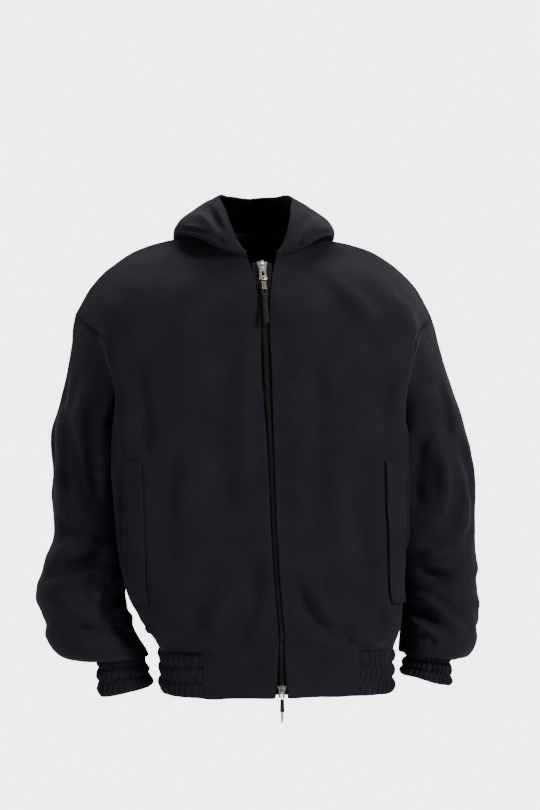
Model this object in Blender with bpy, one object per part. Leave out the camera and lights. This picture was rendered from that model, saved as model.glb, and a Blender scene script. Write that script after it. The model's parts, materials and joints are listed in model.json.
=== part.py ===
"""Reversible zip jacket, filled out as when it is worn, with its hood laid back.

Metres, +Z up, the front faces -Y, and +X is the wearer's left. The origin is between the shoulder
points at the base of the neck, where the shoulders carry the jacket.
"""

import math

import bmesh
import bpy
import numpy as np

COLLECTION = "reversible_jacket"

# Cloth
WALL = 0.003                # body cloth, two layers sewn back to back
SEAM_GAP = 0.0003           # between pieces that are sewn together
BAND_WALL = 0.006           # gathered bands with elastic inside
HOOD_LIFT = 0.0010          # hood seam above the neckline

# Heights of the hem
HEM_SEAM_Z = -0.688
HEM_EDGE_Z = -0.763
PLAIN_COLUMNS = 4           # mesh columns of each front that run on into the plain hem

# Gathered bands
CASING_GATHERS = 80
CUFF_GATHERS = 28
GATHER_DEPTH = 0.0016
PUFF_HEIGHT = 0.0045
PUFFS = 3

# Zip
TAPE_WIDTH = 0.016
CHAIN_HALF = 0.0038
PULL_WIDTH = 0.009
PULL_THICKNESS = 0.0024
TAPE_LAYERS = (-0.0036, -0.0046)
CHAIN_LAYERS = (-0.0004, -0.0032)
SLIDER_THICKNESS = 0.006
TOP_SLIDER = {"low": -0.074, "high": -0.042, "width": 0.0170, "pull": 0.088}
LOW_SLIDER = {"low": -0.762, "high": -0.741, "width": 0.0140, "pull": 0.043}

# Body sections below the armpit: height, centre line, zip line, widest half, front and back depth,
# half at the side seam, place of the front corner in plan, share of the front before the hem seam,
# half of the gap between the two fronts, and half and place of the back corner
SECTION_COLUMNS = ("z", "centre", "zip", "half", "front", "back", "side", "corner", "plain", "gap",
                   "back_half", "back_corner")
BODY_SECTIONS = (
    (HEM_EDGE_Z, 0.032, 0.026, 0.196, 0.143, 0.128, 0.194, 0.060, 0.40, 0.0105, 0.180, 0.066),
    (HEM_SEAM_Z, 0.030, 0.025, 0.196, 0.148, 0.132, 0.192, 0.065, 0.40, 0.0062, 0.180, 0.070),
    (-0.655, 0.022, 0.023, 0.214, 0.166, 0.152, 0.194, 0.082, 0.39, 0.0058, 0.196, 0.092),
    (-0.595, 0.008, 0.018, 0.235, 0.161, 0.152, 0.190, 0.084, 0.37, 0.0058, 0.214, 0.106),
    (-0.495, 0.002, 0.012, 0.249, 0.156, 0.148, 0.187, 0.085, 0.34, 0.0058, 0.229, 0.112),
    (-0.385, -0.002, 0.008, 0.252, 0.153, 0.145, 0.185, 0.085, 0.31, 0.0060, 0.232, 0.112),
    (-0.335, -0.002, 0.006, 0.252, 0.151, 0.143, 0.184, 0.085, 0.30, 0.0065, 0.232, 0.112),
)
ARMPIT_ROW = len(BODY_SECTIONS) - 1
SIDE_SEAM_Y = 0.030

# Sections above the armpit: seven guide points from the centre to the armhole or shoulder tip
SHOULDER_LINE = ((0.072, 0.008, 0.003), (0.150, 0.011, -0.001), (0.222, 0.012, -0.027),
                 (0.275, 0.011, -0.075), (0.306, 0.010, -0.129))
FRONT_CHEST = ((0.010, -0.146, -0.225), (0.060, -0.147, -0.225), (0.118, -0.144, -0.223),
               (0.190, -0.129, -0.222), (0.236, -0.110, -0.225), (0.250, -0.094, -0.232),
               (0.243, -0.076, -0.245))
FRONT_YOKE = ((0.009, -0.122, -0.115), (0.058, -0.118, -0.103), (0.112, -0.100, -0.088),
              (0.182, -0.086, -0.088), (0.232, -0.080, -0.108), (0.262, -0.074, -0.138),
              (0.272, -0.060, -0.168))
FRONT_NECK = ((0.024, -0.080, -0.033), (0.045, -0.060, -0.022))
BACK_CHEST = ((0.000, 0.142, -0.225), (0.060, 0.142, -0.225), (0.118, 0.138, -0.225),
              (0.185, 0.128, -0.225), (0.226, 0.118, -0.225), (0.243, 0.104, -0.232),
              (0.243, 0.085, -0.245))
BACK_YOKE = ((0.000, 0.122, -0.095), (0.058, 0.120, -0.093), (0.112, 0.108, -0.085),
             (0.182, 0.092, -0.088), (0.232, 0.086, -0.108), (0.262, 0.082, -0.138),
             (0.274, 0.072, -0.168))
BACK_NECK = ((0.000, 0.075, 0.012), (0.042, 0.062, 0.012))

# Mesh rows between the section rows, and mesh columns between the guide points
ROW_STEPS = (2, 2, 2, 3, 3, 1, 4, 3, 3)
COLUMN_STEPS = (2, 2, 3, 2, 2, 3)

# Sleeve rings below the armhole: outer and inner point, front and back depth
RING_COLUMNS = ("outer_x", "outer_z", "inner_x", "inner_z", "front_y", "back_y")
SLEEVE_RIGHT = (
    (0.343, -0.330, 0.203, -0.400, -0.056, 0.114),
    (0.340, -0.390, 0.207, -0.432, -0.055, 0.112),
    (0.347, -0.445, 0.208, -0.470, -0.055, 0.110),
    (0.341, -0.500, 0.208, -0.510, -0.056, 0.106),
    (0.361, -0.548, 0.211, -0.546, -0.060, 0.103),
    (0.372, -0.590, 0.220, -0.586, -0.066, 0.098),
    (0.363, -0.632, 0.214, -0.630, -0.074, 0.088),
    (0.358, -0.670, 0.201, -0.664, -0.080, 0.074),
    (0.334, -0.706, 0.186, -0.689, -0.078, 0.060),
    (0.292, -0.712, 0.181, -0.701, -0.068, 0.048),
    (0.265, -0.699, 0.197, -0.694, -0.052, 0.030),
)
SLEEVE_LEFT = (
    (0.372, -0.330, 0.203, -0.400, -0.056, 0.114),
    (0.384, -0.392, 0.207, -0.432, -0.055, 0.112),
    (0.386, -0.450, 0.210, -0.470, -0.055, 0.110),
    (0.384, -0.505, 0.216, -0.512, -0.056, 0.106),
    (0.387, -0.550, 0.228, -0.548, -0.060, 0.103),
    (0.388, -0.592, 0.240, -0.585, -0.066, 0.098),
    (0.385, -0.636, 0.246, -0.626, -0.074, 0.088),
    (0.384, -0.676, 0.246, -0.660, -0.078, 0.074),
    (0.366, -0.711, 0.243, -0.686, -0.076, 0.061),
    (0.350, -0.715, 0.243, -0.699, -0.068, 0.050),
    (0.329, -0.702, 0.261, -0.692, -0.052, 0.032),
)
SLEEVE_STEPS = (2, 2, 1, 2, 2, 2, 2, 2, 1, 1)
UPPER_SLEEVE_STEPS = 5
CUFF_RIGHT = ((0.2645, -0.6996, 0.1975, -0.6946, -0.0515, 0.0295),
              (0.268, -0.770, 0.180, -0.752, -0.055, 0.031))
CUFF_LEFT = ((0.3285, -0.7026, 0.2615, -0.6926, -0.0515, 0.0315),
             (0.334, -0.758, 0.250, -0.738, -0.055, 0.033))
ARMPIT_DRAW = 0.013         # how far the sleeve stands off the body just below the armhole

# Hood profile at five places from the zip round to the centre back: how far out and how high the
# under layer, the roll, its top and the rim lie. Out is measured from the neckline.
HOOD_COLUMNS = ("under_out", "under_z", "roll_out", "roll_z", "brow_out", "brow_z",
                "top_out", "top_z", "rim_out", "rim_z")
HOOD_PROFILES = (
    (0.012, -0.034, 0.024, -0.027, 0.022, -0.014, 0.011, -0.006, 0.000, -0.009),
    (0.024, -0.021, 0.046, -0.009, 0.044, 0.006, 0.022, 0.017, 0.002, 0.021),
    (0.032, 0.006, 0.066, 0.008, 0.062, 0.030, 0.030, 0.054, -0.006, 0.074),
    (0.046, -0.020, 0.086, -0.072, 0.104, -0.022, 0.056, 0.056, 0.000, 0.080),
    (0.050, -0.050, 0.084, -0.124, 0.112, -0.060, 0.070, 0.040, 0.006, 0.078),
)
HOOD_DIRECTIONS = ((1.0, -0.30), (0.86, -0.50), (1.0, 0.05), (0.62, 0.78), (0.0, 1.0))
HOOD_PROFILE_STEPS = 10

# Creases: which face, path in x and z, half width, height (a trough is negative)
FRONT_CREASES = (
    (((0.002, -0.529), (-0.025, -0.624), (-0.071, -0.688)), 0.016, -0.007),
    (((0.040, -0.556), (0.080, -0.625), (0.126, -0.658)), 0.016, -0.007),
    (((0.140, -0.367), (0.158, -0.493), (0.168, -0.600)), 0.022, -0.004),
    (((-0.120, -0.390), (-0.135, -0.500), (-0.150, -0.590)), 0.024, -0.003),
    (((-0.245, -0.252), (-0.280, -0.318), (-0.262, -0.459)), 0.014, -0.008),
    (((-0.308, -0.306), (-0.296, -0.447)), 0.012, -0.005),
    (((-0.350, -0.561), (-0.240, -0.510)), 0.013, -0.010),
    (((-0.300, -0.607), (-0.228, -0.561)), 0.013, 0.006),
    (((-0.311, -0.649), (-0.257, -0.649)), 0.012, -0.006),
    (((0.300, -0.330), (0.319, -0.405), (0.290, -0.480)), 0.013, 0.006),
    (((0.350, -0.422), (0.304, -0.507)), 0.014, -0.009),
    (((0.264, -0.561), (0.311, -0.570)), 0.012, -0.009),
    (((0.270, -0.618), (0.316, -0.642), (0.357, -0.688)), 0.012, -0.009),
)
BACK_CREASES = (
    (((-0.110, -0.660), (-0.060, -0.560), (-0.040, -0.440)), 0.020, -0.006),
    (((0.130, -0.655), (0.085, -0.550), (0.070, -0.450)), 0.020, -0.006),
    (((-0.200, -0.250), (-0.150, -0.400)), 0.020, -0.006),
    (((0.200, -0.250), (0.160, -0.390)), 0.020, -0.006),
    (((-0.330, -0.480), (-0.250, -0.520)), 0.014, -0.008),
    (((-0.350, -0.580), (-0.260, -0.600)), 0.014, -0.008),
    (((0.360, -0.490), (0.260, -0.530)), 0.014, -0.008),
    (((0.370, -0.600), (0.280, -0.620)), 0.014, -0.008),
)

# Pocket welts: half of the body at the inner and outer long edge, top and bottom height
WELT_HALF = (0.202, 0.226)
WELT_Z = (-0.376, -0.610)
WELT_LAYERS = (0.0019, 0.0050)


def clear_scene():
    for item in list(bpy.data.objects):
        bpy.data.objects.remove(item, do_unlink=True)
    for group in list(bpy.data.collections):
        bpy.data.collections.remove(group)


def material(name, color, roughness, metallic=0.0):
    """A plain Principled finish for one piece."""
    finish = bpy.data.materials.new(name)
    finish.use_nodes = True
    shader = finish.node_tree.nodes["Principled BSDF"]
    shader.inputs["Base Color"].default_value = (*color, 1.0)
    shader.inputs["Roughness"].default_value = roughness
    shader.inputs["Metallic"].default_value = metallic
    return finish


def spline(points, values):
    """Catmull-Rom curve through the points, read at values from 0 to len(points) - 1."""
    points = np.asarray(points, float)
    ends = (2 * points[:1] - points[1:2], points, 2 * points[-1:] - points[-2:-1])
    padded = np.concatenate(ends)
    out = []
    for value in values:
        k = min(int(value), len(points) - 2)
        t = value - k
        a, b, c, d = padded[k:k + 4]
        out.append(0.5 * (2 * b + (c - a) * t + (2 * a - 5 * b + 4 * c - d) * t * t
                          + (3 * b - a - 3 * c + d) * t ** 3))
    return np.array(out)


def steps(counts):
    """Curve values that divide each stretch into its own number of equal steps."""
    values = [k + i / n for k, n in enumerate(counts) for i in range(n)]
    return values + [float(len(counts))]


def bezier(a, b, c, d, count):
    """A plan curve from a to d with the handles b and c."""
    t = np.linspace(0, 1, count)[:, None]
    a, b, c, d = (np.asarray(p, float) for p in (a, b, c, d))
    return a * (1 - t) ** 3 + 3 * b * t * (1 - t) ** 2 + 3 * c * t * t * (1 - t) + d * t ** 3


def at_shares(curve, shares):
    """Points of a polyline at shares of its length."""
    lengths = np.concatenate([[0], np.cumsum(np.linalg.norm(np.diff(curve, axis=0), axis=1))])
    wanted = np.asarray(shares) * lengths[-1]
    return np.stack([np.interp(wanted, lengths, curve[:, k]) for k in range(curve.shape[1])], 1)


def section_guides(row, side, face):
    """Seven guide points of one body section, from the centre to the side seam."""
    cut = dict(zip(SECTION_COLUMNS, row))
    if face == "front":
        middle, depth = cut["zip"] + side * cut["gap"], -cut["front"]
        half, corner = cut["half"], -cut["corner"]
    else:
        middle, depth = cut["centre"], cut["back"]
        half, corner = cut["back_half"], cut["back_corner"]
    start = (middle, depth)
    knee = (cut["centre"] + side * half, corner)
    seam = (cut["centre"] + side * cut["side"], SIDE_SEAM_Y)
    reach = 0.45 * (knee[1] - depth)
    face_run = bezier(start, (middle + 0.62 * (knee[0] - middle), depth),
                      (knee[0], corner - reach), knee, 24)
    back_off = 0.28 * (seam[1] - corner)
    side_run = bezier(knee, (knee[0], corner + back_off), (seam[0], seam[1] - 1.4 * back_off),
                      seam, 14)
    curve = np.concatenate([face_run, side_run[1:]])
    plain = cut["plain"]
    shares = (0, plain / 2, plain, (plain + 0.66) / 2, 0.66, 0.82, 1.0)
    plan = at_shares(curve, shares)
    return np.column_stack([plan, np.full(7, cut["z"])])


def mirrored(points, side):
    return np.asarray(points, float) * (side, 1, 1)


def body_guides(side, face):
    """Guide points of a front or half back: rows from the hem to the neck and shoulder."""
    rows = [section_guides(row, side, face) for row in BODY_SECTIONS]
    upper = (FRONT_CHEST, FRONT_YOKE, FRONT_NECK + SHOULDER_LINE)
    if face == "back":
        upper = (BACK_CHEST, BACK_YOKE, BACK_NECK + SHOULDER_LINE)
    rows += [mirrored(row, side) for row in upper]
    return np.array(rows)


def cornered_spline(points, values, corner):
    """A spline of two runs that meet at a corner point, so that each keeps to its own points."""
    low = [value for value in values if value <= corner]
    high = [value - corner for value in values if value > corner]
    runs = []
    if low:
        runs.append(spline(points[:corner + 1], low))
    if high:
        runs.append(spline(points[corner:], high))
    return np.concatenate(runs)


def body_grid(side, face, row_values, column_values):
    """Points of a front or half back; its seams follow the same curves as its neighbours' do."""
    guides = body_guides(side, face)
    last = guides.shape[1] - 1
    lines = [spline(guides[:, k], row_values) for k in range(last)]
    lines.append(cornered_spline(guides[:, last], row_values, ARMPIT_ROW))
    rows = np.stack(lines, 1)
    top = len(guides) - 1
    neck_corner = len(FRONT_NECK)
    grid = []
    for value, row in zip(row_values, rows):
        if value >= top:
            grid.append(cornered_spline(row, column_values, neck_corner))
        else:
            grid.append(spline(row, column_values))
    return np.array(grid)


def ring(row, side, angles):
    """One ring of a sleeve or cuff; angle 0 is its outer side and 90 degrees its front."""
    cut = dict(zip(RING_COLUMNS, row))
    middle = (np.array((cut["outer_x"], 0, cut["outer_z"]))
              + np.array((cut["inner_x"], 0, cut["inner_z"]))) / 2
    across = np.array((cut["outer_x"], 0, cut["outer_z"])) - middle
    middle[1] = (cut["front_y"] + cut["back_y"]) / 2
    forward = np.array((0, cut["front_y"] - middle[1], 0))
    c, s = np.cos(angles)[:, None], np.sin(angles)[:, None]
    return (middle + c * across + s * forward) * (side, 1, 1)


def sleeve_grid(side, armhole):
    """Rings from the armhole down to the cuff seam, each with the armhole's count of points."""
    angles = np.linspace(0, 2 * math.pi, len(armhole))
    table = SLEEVE_RIGHT if side < 0 else SLEEVE_LEFT
    rings = np.array([ring(row, side, angles) for row in table])
    upper = []
    inner_side = np.clip(0.35 - np.cos(angles), 0, 1)[:, None]
    for k in range(UPPER_SLEEVE_STEPS):
        t = k / UPPER_SLEEVE_STEPS
        blend = armhole * (1 - t) + rings[0] * t
        inward = blend.mean(axis=0) - blend
        inward /= np.linalg.norm(inward, axis=1)[:, None]
        draw = ARMPIT_DRAW * math.sin(math.pi * t ** 0.6)
        upper.append(blend + inward * inner_side * draw)
    lower = np.stack([spline(rings[:, k], steps(SLEEVE_STEPS)) for k in range(len(angles))], 1)
    return np.concatenate([np.array(upper), lower])


def crease_height(x, z, creases):
    """Height of the creases at a point seen from the front or back."""
    total = 0.0
    for path, width, height in creases:
        nearest, place = 9.0, 0.0
        count = len(path) - 1
        for k in range(count):
            ax, az = path[k]
            bx, bz = path[k + 1]
            run = (bx - ax) ** 2 + (bz - az) ** 2
            t = max(0.0, min(1.0, ((x - ax) * (bx - ax) + (z - az) * (bz - az)) / run))
            gap = math.hypot(x - ax - t * (bx - ax), z - az - t * (bz - az))
            if gap < nearest:
                nearest, place = gap, (k + t) / count
        taper = 0.35 + 0.65 * math.sin(math.pi * (0.15 + 0.7 * place))
        total += height * taper * math.exp(-(nearest / width) ** 2)
    return total


def grid_normals(grids, families=None):
    """Outward normals at every grid point, shared where pieces meet at a seam.

    Grids of one family count as one surface; where two families meet, the normal halves the angle.
    """
    families = families or [0] * len(grids)
    found = {family: {} for family in families}

    def key(point):
        return tuple(int(round(float(c) * 20000)) for c in point)

    for (points, outward), family in zip(grids, families):
        own = found[family]
        for i in range(points.shape[0] - 1):
            for j in range(points.shape[1] - 1):
                a, b = points[i, j], points[i, j + 1]
                c, d = points[i + 1, j + 1], points[i + 1, j]
                normal = np.cross(c - a, d - b) * outward
                for corner in (a, b, c, d):
                    own[key(corner)] = own.get(key(corner), 0) + normal

    def shared(point):
        total = np.zeros(3)
        for own in found.values():
            normal = own.get(key(point))
            if normal is not None:
                total = total + normal / np.linalg.norm(normal)
        return total / np.linalg.norm(total)

    return [np.array([[shared(p) for p in row] for row in points]) for points, outward in grids]


def add_creases(points, normals, inner_rows, column_shares):
    """Moves grid points along their normals by the creases of the face they belong to."""
    moved = points.copy()
    rows, columns = points.shape[:2]
    for i in range(rows):
        for j in range(columns):
            if inner_rows[i] and column_shares[j]:
                facing = normals[i, j][1]
                creases = FRONT_CREASES if facing < 0 else BACK_CREASES
                height = crease_height(points[i, j][0], points[i, j][2], creases)
                height *= column_shares[j] * min(1.0, 1.6 * abs(facing))
                moved[i, j] += normals[i, j] * height
    return moved


def shrink(points, edges):
    """Draws the named edges of a grid in by a seam gap, along the cloth."""
    out = points.copy()
    pairs = {"low": ((0, 1), 0), "high": ((-1, -2), 0), "left": ((0, 1), 1), "right": ((-1, -2), 1)}
    for edge in edges:
        (last, next_in), axis = pairs[edge]
        edge_points = np.take(out, last, axis=axis)
        inner_points = np.take(points, next_in, axis=axis)
        run = inner_points - edge_points
        length = np.linalg.norm(run, axis=1)[:, None]
        shifted = edge_points + run / length * SEAM_GAP
        if axis == 0:
            out[last] = shifted
        else:
            out[:, last] = shifted
    return out


def make_object(name, bm, finish, group):
    mesh = bpy.data.meshes.new(name)
    bmesh.ops.recalc_face_normals(bm, faces=bm.faces)
    bm.to_mesh(mesh)
    bm.free()
    mesh.shade_smooth()
    mesh.set_sharp_from_angle(angle=math.radians(50))
    mesh.materials.append(finish)
    item = bpy.data.objects.new(name, mesh)
    group.objects.link(item)
    return item


def wall_between(name, outer, inner, finish, group, closed=False, keep=None):
    """A cloth wall from two grids of like size; keep(i, j) says which cells are cloth."""
    bm = bmesh.new()
    rows, columns = outer.shape[:2]
    around = columns - 1 if closed else columns

    def used(i, j):
        return 0 <= i < rows - 1 and 0 <= j < columns - 1 and (keep is None or keep(i, j))

    corners = {}

    def corner(layer, i, j):
        mark = (layer, i, j % around if closed else j)
        if mark not in corners:
            grid = outer if layer == 0 else inner
            corners[mark] = bm.verts.new(grid[mark[1], mark[2]])
        return corners[mark]

    def side(i1, j1, i2, j2):
        bm.faces.new((corner(0, i1, j1), corner(0, i2, j2), corner(1, i2, j2), corner(1, i1, j1)))

    for i in range(rows - 1):
        for j in range(columns - 1):
            if not used(i, j):
                continue
            cell = ((i, j), (i, j + 1), (i + 1, j + 1), (i + 1, j))
            bm.faces.new([corner(0, *p) for p in cell])
            bm.faces.new([corner(1, *p) for p in reversed(cell)])
            if not used(i - 1, j):
                side(i, j, i, j + 1)
            if not used(i + 1, j):
                side(i + 1, j, i + 1, j + 1)
            if not closed and not used(i, j - 1):
                side(i, j, i + 1, j)
            if not closed and not used(i, j + 1):
                side(i, j + 1, i + 1, j + 1)
    return make_object(name, bm, finish, group)


def cloth_piece(name, points, normals, edges, finish, group, closed=False, keep=None):
    outer = shrink(points, edges)
    inner = outer - normals * WALL
    return wall_between(name, outer, inner, finish, group, closed, keep)


def band_rows():
    """Heights and puff of a gathered band: a low edge, then puffs with stitched lines between."""
    rows = []
    for k in range(2 * PUFFS + 1):
        rows.append((k / (2 * PUFFS), PUFF_HEIGHT if k % 2 else 0.0))
    return rows


def gathered_band(name, top, bottom, outward, finish, group, closed):
    """A band whose outer face is puffed and gathered over a plain inner face.

    The top and bottom paths hold two points a gather; the inner face uses every other one.
    """
    bm = bmesh.new()
    count = len(top)
    outer_rows = []
    for share, puff in band_rows():
        row = []
        for j in range(count):
            base = top[j] * (1 - share) + bottom[j] * share
            wave = GATHER_DEPTH * (1 if j % 2 else -1) * (1.0 if puff else 0.45)
            row.append(bm.verts.new(base + outward[j] * (puff + wave)))
        outer_rows.append(row)
    inner_rows = []
    for path in (top, bottom):
        inner_rows.append([bm.verts.new(path[j] - outward[j] * BAND_WALL)
                           for j in range(0, count, 2)])
    last = count if closed else count - 1
    for i in range(len(outer_rows) - 1):
        for j in range(last):
            n = (j + 1) % count
            bm.faces.new((outer_rows[i][j], outer_rows[i][n],
                          outer_rows[i + 1][n], outer_rows[i + 1][j]))
    inner_count = len(inner_rows[0])
    for k in range(last // 2):
        n = (k + 1) % inner_count
        bm.faces.new((inner_rows[0][n], inner_rows[0][k], inner_rows[1][k], inner_rows[1][n]))
        for outer_row, inner_row, flip in ((outer_rows[0], inner_rows[0], False),
                                           (outer_rows[-1], inner_rows[1], True)):
            a, b, c = outer_row[2 * k], outer_row[2 * k + 1], outer_row[(2 * k + 2) % count]
            for face in ((a, inner_row[k], b), (b, inner_row[k], inner_row[n]),
                         (b, inner_row[n], c)):
                bm.faces.new(face[::-1] if flip else face)
    if not closed:
        for end, inner_end in ((0, 0), (count - 1, inner_count - 1)):
            column = [row[end] for row in outer_rows]
            bm.faces.new(column + [inner_rows[1][inner_end], inner_rows[0][inner_end]])
    return make_object(name, bm, finish, group)


def path_normals(path, closed):
    """Level outward normals of a path that runs round the body or arm."""
    if closed:
        ahead, behind = np.roll(path, -1, axis=0), np.roll(path, 1, axis=0)
    else:
        ahead = np.concatenate([path[1:], path[-1:]])
        behind = np.concatenate([path[:1], path[:-1]])
    run = ahead - behind
    normals = np.column_stack([run[:, 1], -run[:, 0], np.zeros(len(run))])
    normals /= np.linalg.norm(normals, axis=1)[:, None]
    away = path - path.mean(axis=0)
    if (normals * away).sum() < 0:
        normals = -normals
    return normals


def make_cuff(name, side, finish, group):
    angles = np.linspace(0, 2 * math.pi, 2 * CUFF_GATHERS, endpoint=False)
    rows = CUFF_RIGHT if side < 0 else CUFF_LEFT
    top, bottom = (ring(row, side, angles) for row in rows)
    return gathered_band(name, top, bottom, path_normals(top, True), finish, group, True)


def casing_path(row_value):
    """Body section at the hem, from the right front's plain part round the back to the left's."""
    fine = np.linspace(2, 6, 41)
    whole = np.linspace(0, 6, 61)
    row = [row_value]
    right = body_grid(-1, "front", row, fine)[0]
    back_right = body_grid(-1, "back", row, whole)[0][::-1]
    back_left = body_grid(1, "back", row, whole)[0]
    left = body_grid(1, "front", row, fine)[0][::-1]
    return np.concatenate([right, back_right[1:], back_left[1:], left[1:]])


def make_casing(finish, group):
    count = 2 * CASING_GATHERS + 1
    shares = np.linspace(0.0006, 0.9994, count)
    top = at_shares(casing_path(1.0), shares)
    bottom = at_shares(casing_path(0.0), shares)
    top[:, 2] = HEM_SEAM_Z - SEAM_GAP
    outward = path_normals(top, False)
    inset = outward * (0.0012 + GATHER_DEPTH)
    return gathered_band("hem_casing", top - inset, bottom - inset, outward, finish, group, False)


def hood_half(side, neck, neck_normals):
    """Grid of one half of the hood: from the zip to the centre back, from its seam to its rim."""
    places = np.linspace(0, 4, len(neck))
    table = spline(HOOD_PROFILES, places)
    ways = spline([(x, y, 0.0) for x, y in HOOD_DIRECTIONS], places)
    ways /= np.linalg.norm(ways, axis=1)[:, None]
    columns = []
    for k in range(len(neck)):
        cut = dict(zip(HOOD_COLUMNS, table[k]))
        seam = neck[k] + neck_normals[k] * HOOD_LIFT
        way = ways[k] * (side, 1, 1)
        guides = [seam]
        for part in ("under", "roll", "brow", "top", "rim"):
            point = neck[k] + way * cut[part + "_out"]
            point[2] = cut[part + "_z"]
            guides.append(point)
        columns.append(spline(guides, np.linspace(0, 5, HOOD_PROFILE_STEPS + 1)))
    return np.array(columns).transpose(1, 0, 2)


def panel_point(points, normals, side, half, z):
    """Point and normal of a front panel at a half width from the body's centre and a height."""
    heights = points[:, 0, 2]
    i = int(np.searchsorted(heights, z)) - 1
    t = (z - heights[i]) / (heights[i + 1] - heights[i])
    line = points[i] * (1 - t) + points[i + 1] * t
    line_normals = normals[i] * (1 - t) + normals[i + 1] * t
    table = np.array([row[:2] for row in BODY_SECTIONS])
    halves = (line[:, 0] - np.interp(z, table[:, 0], table[:, 1])) * side
    widest = int(np.argmax(halves)) + 1
    place = float(np.interp(half, halves[:widest], range(widest)))
    j = min(int(place), widest - 2)
    s = place - j
    normal = line_normals[j] * (1 - s) + line_normals[j + 1] * s
    return line[j] * (1 - s) + line[j + 1] * s, normal / np.linalg.norm(normal)


def make_welt(name, side, points, normals, finish, group):
    """A stitched pocket welt made from the front's own points, moved out."""
    heights = [z for z in points[:, 0, 2] if WELT_Z[1] < z < WELT_Z[0]]
    outer, inner = [], []
    for z in [WELT_Z[1]] + heights + [WELT_Z[0]]:
        row = [panel_point(points, normals, side, half, z)
               for half in np.linspace(*WELT_HALF, 4)]
        outer.append([point + normal * WELT_LAYERS[1] for point, normal in row])
        inner.append([point + normal * WELT_LAYERS[0] for point, normal in row])
    return wall_between(name, np.array(outer), np.array(inner), finish, group)


def zip_line(low, high):
    """Middle of the front opening and its outward normal, at each mesh row from low to high."""
    middle = (body_grid(-1, "front", steps(ROW_STEPS), [0.0])[:, 0]
              + body_grid(1, "front", steps(ROW_STEPS), [0.0])[:, 0]) / 2
    run = np.gradient(middle, axis=0)
    normals = np.column_stack([np.zeros(len(run)), -run[:, 2], run[:, 1]])
    normals /= np.linalg.norm(normals, axis=1)[:, None]
    heights = [low] + [z for z in middle[:, 2] if low < z < high] + [high]
    points = np.stack([np.interp(heights, middle[:, 2], middle[:, k]) for k in range(3)], 1)
    turned = np.stack([np.interp(heights, middle[:, 2], normals[:, k]) for k in range(3)], 1)
    return points, turned / np.linalg.norm(turned, axis=1)[:, None]


def zip_strip(name, low, high, across, layers, finish, group):
    """A strip along the zip between two offsets across it and two depths."""
    points, normals = zip_line(low, high)
    grids = []
    for layer in layers:
        rows = [[p + np.array((x, 0, 0)) + n * layer for x in across]
                for p, n in zip(points, normals)]
        grids.append(np.array(rows))
    return wall_between(name, grids[0], grids[1], finish, group)


def block(bm, size):
    """Adds a box of the given size, centred on the origin."""
    made = bmesh.ops.create_cube(bm, size=1.0)["verts"]
    for vert in made:
        vert.co = [vert.co[k] * size[k] for k in range(3)]


def tilted(verts, tilt, place):
    """Turns vertices about X by tilt and moves them to their place."""
    c, s = math.cos(tilt), math.sin(tilt)
    for vert in verts:
        x, y, z = vert.co
        vert.co = (x + place[0], y * c - z * s + place[1], y * s + z * c + place[2])


def make_slider(name, sizes, finish, group):
    """A slider: one bevelled body over the chain's end, widest at its shoulders."""
    points, normals = zip_line(sizes["low"], sizes["high"])
    normal = normals.mean(axis=0)
    tilt = math.atan2(-normal[2], -normal[1])
    height = float(np.linalg.norm(points[-1] - points[0]))
    bm = bmesh.new()
    block(bm, (sizes["width"], SLIDER_THICKNESS, height))
    for vert in bm.verts:
        if vert.co.z < 0:
            vert.co.x *= 0.70
    bmesh.ops.bevel(bm, geom=bm.edges[:], offset=0.0014, segments=2, profile=0.5,
                    affect="EDGES", material=-1)
    centre = (points[0] + points[-1]) / 2 + normal * 0.0005
    tilted(bm.verts, tilt, centre)
    front_foot = centre + normal * (SLIDER_THICKNESS / 2) + (points[0] - points[-1]) * 0.42
    return make_object(name, bm, finish, group), front_foot, normal, tilt


def make_pull(name, pivot, length, tilt, finish, group):
    """A flat pull tab, wider at its end; its origin is on its hinge."""
    bm = bmesh.new()
    block(bm, (PULL_WIDTH, PULL_THICKNESS, length))
    for vert in bm.verts:
        if vert.co.z > 0:
            vert.co.x *= 0.62
        vert.co.z -= length / 2 - PULL_THICKNESS / 2
    bmesh.ops.bevel(bm, geom=bm.edges[:], offset=0.0008, segments=2, profile=0.5,
                    affect="EDGES", material=-1)
    tilted(bm.verts, tilt, (0, 0, 0))
    item = make_object(name, bm, finish, group)
    item.location = pivot
    return item


def make_zip(finishes, group):
    """Two tapes, the closed chain, two sliders and two pulls."""
    for name, side in (("zip_tape_right", -1), ("zip_tape_left", 1)):
        across = sorted((side * 0.0004, side * TAPE_WIDTH))
        zip_strip(name, HEM_EDGE_Z + 0.006, TOP_SLIDER["high"], across, TAPE_LAYERS,
                  finishes["tape"], group)
    zip_strip("zip_chain", LOW_SLIDER["high"] + 0.0006, TOP_SLIDER["low"] - 0.0006,
              (-CHAIN_HALF, CHAIN_HALF), CHAIN_LAYERS, finishes["tape"], group)
    for label, sizes in (("top", TOP_SLIDER), ("bottom", LOW_SLIDER)):
        slider, foot, normal, tilt = make_slider("slider_" + label, sizes, finishes["metal"], group)
        pivot = foot + normal * (PULL_THICKNESS / 2 + 0.0006)
        make_pull("pull_" + label, pivot, sizes["pull"], tilt if label == "top" else 0.0,
                  finishes["pull"], group)


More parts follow.
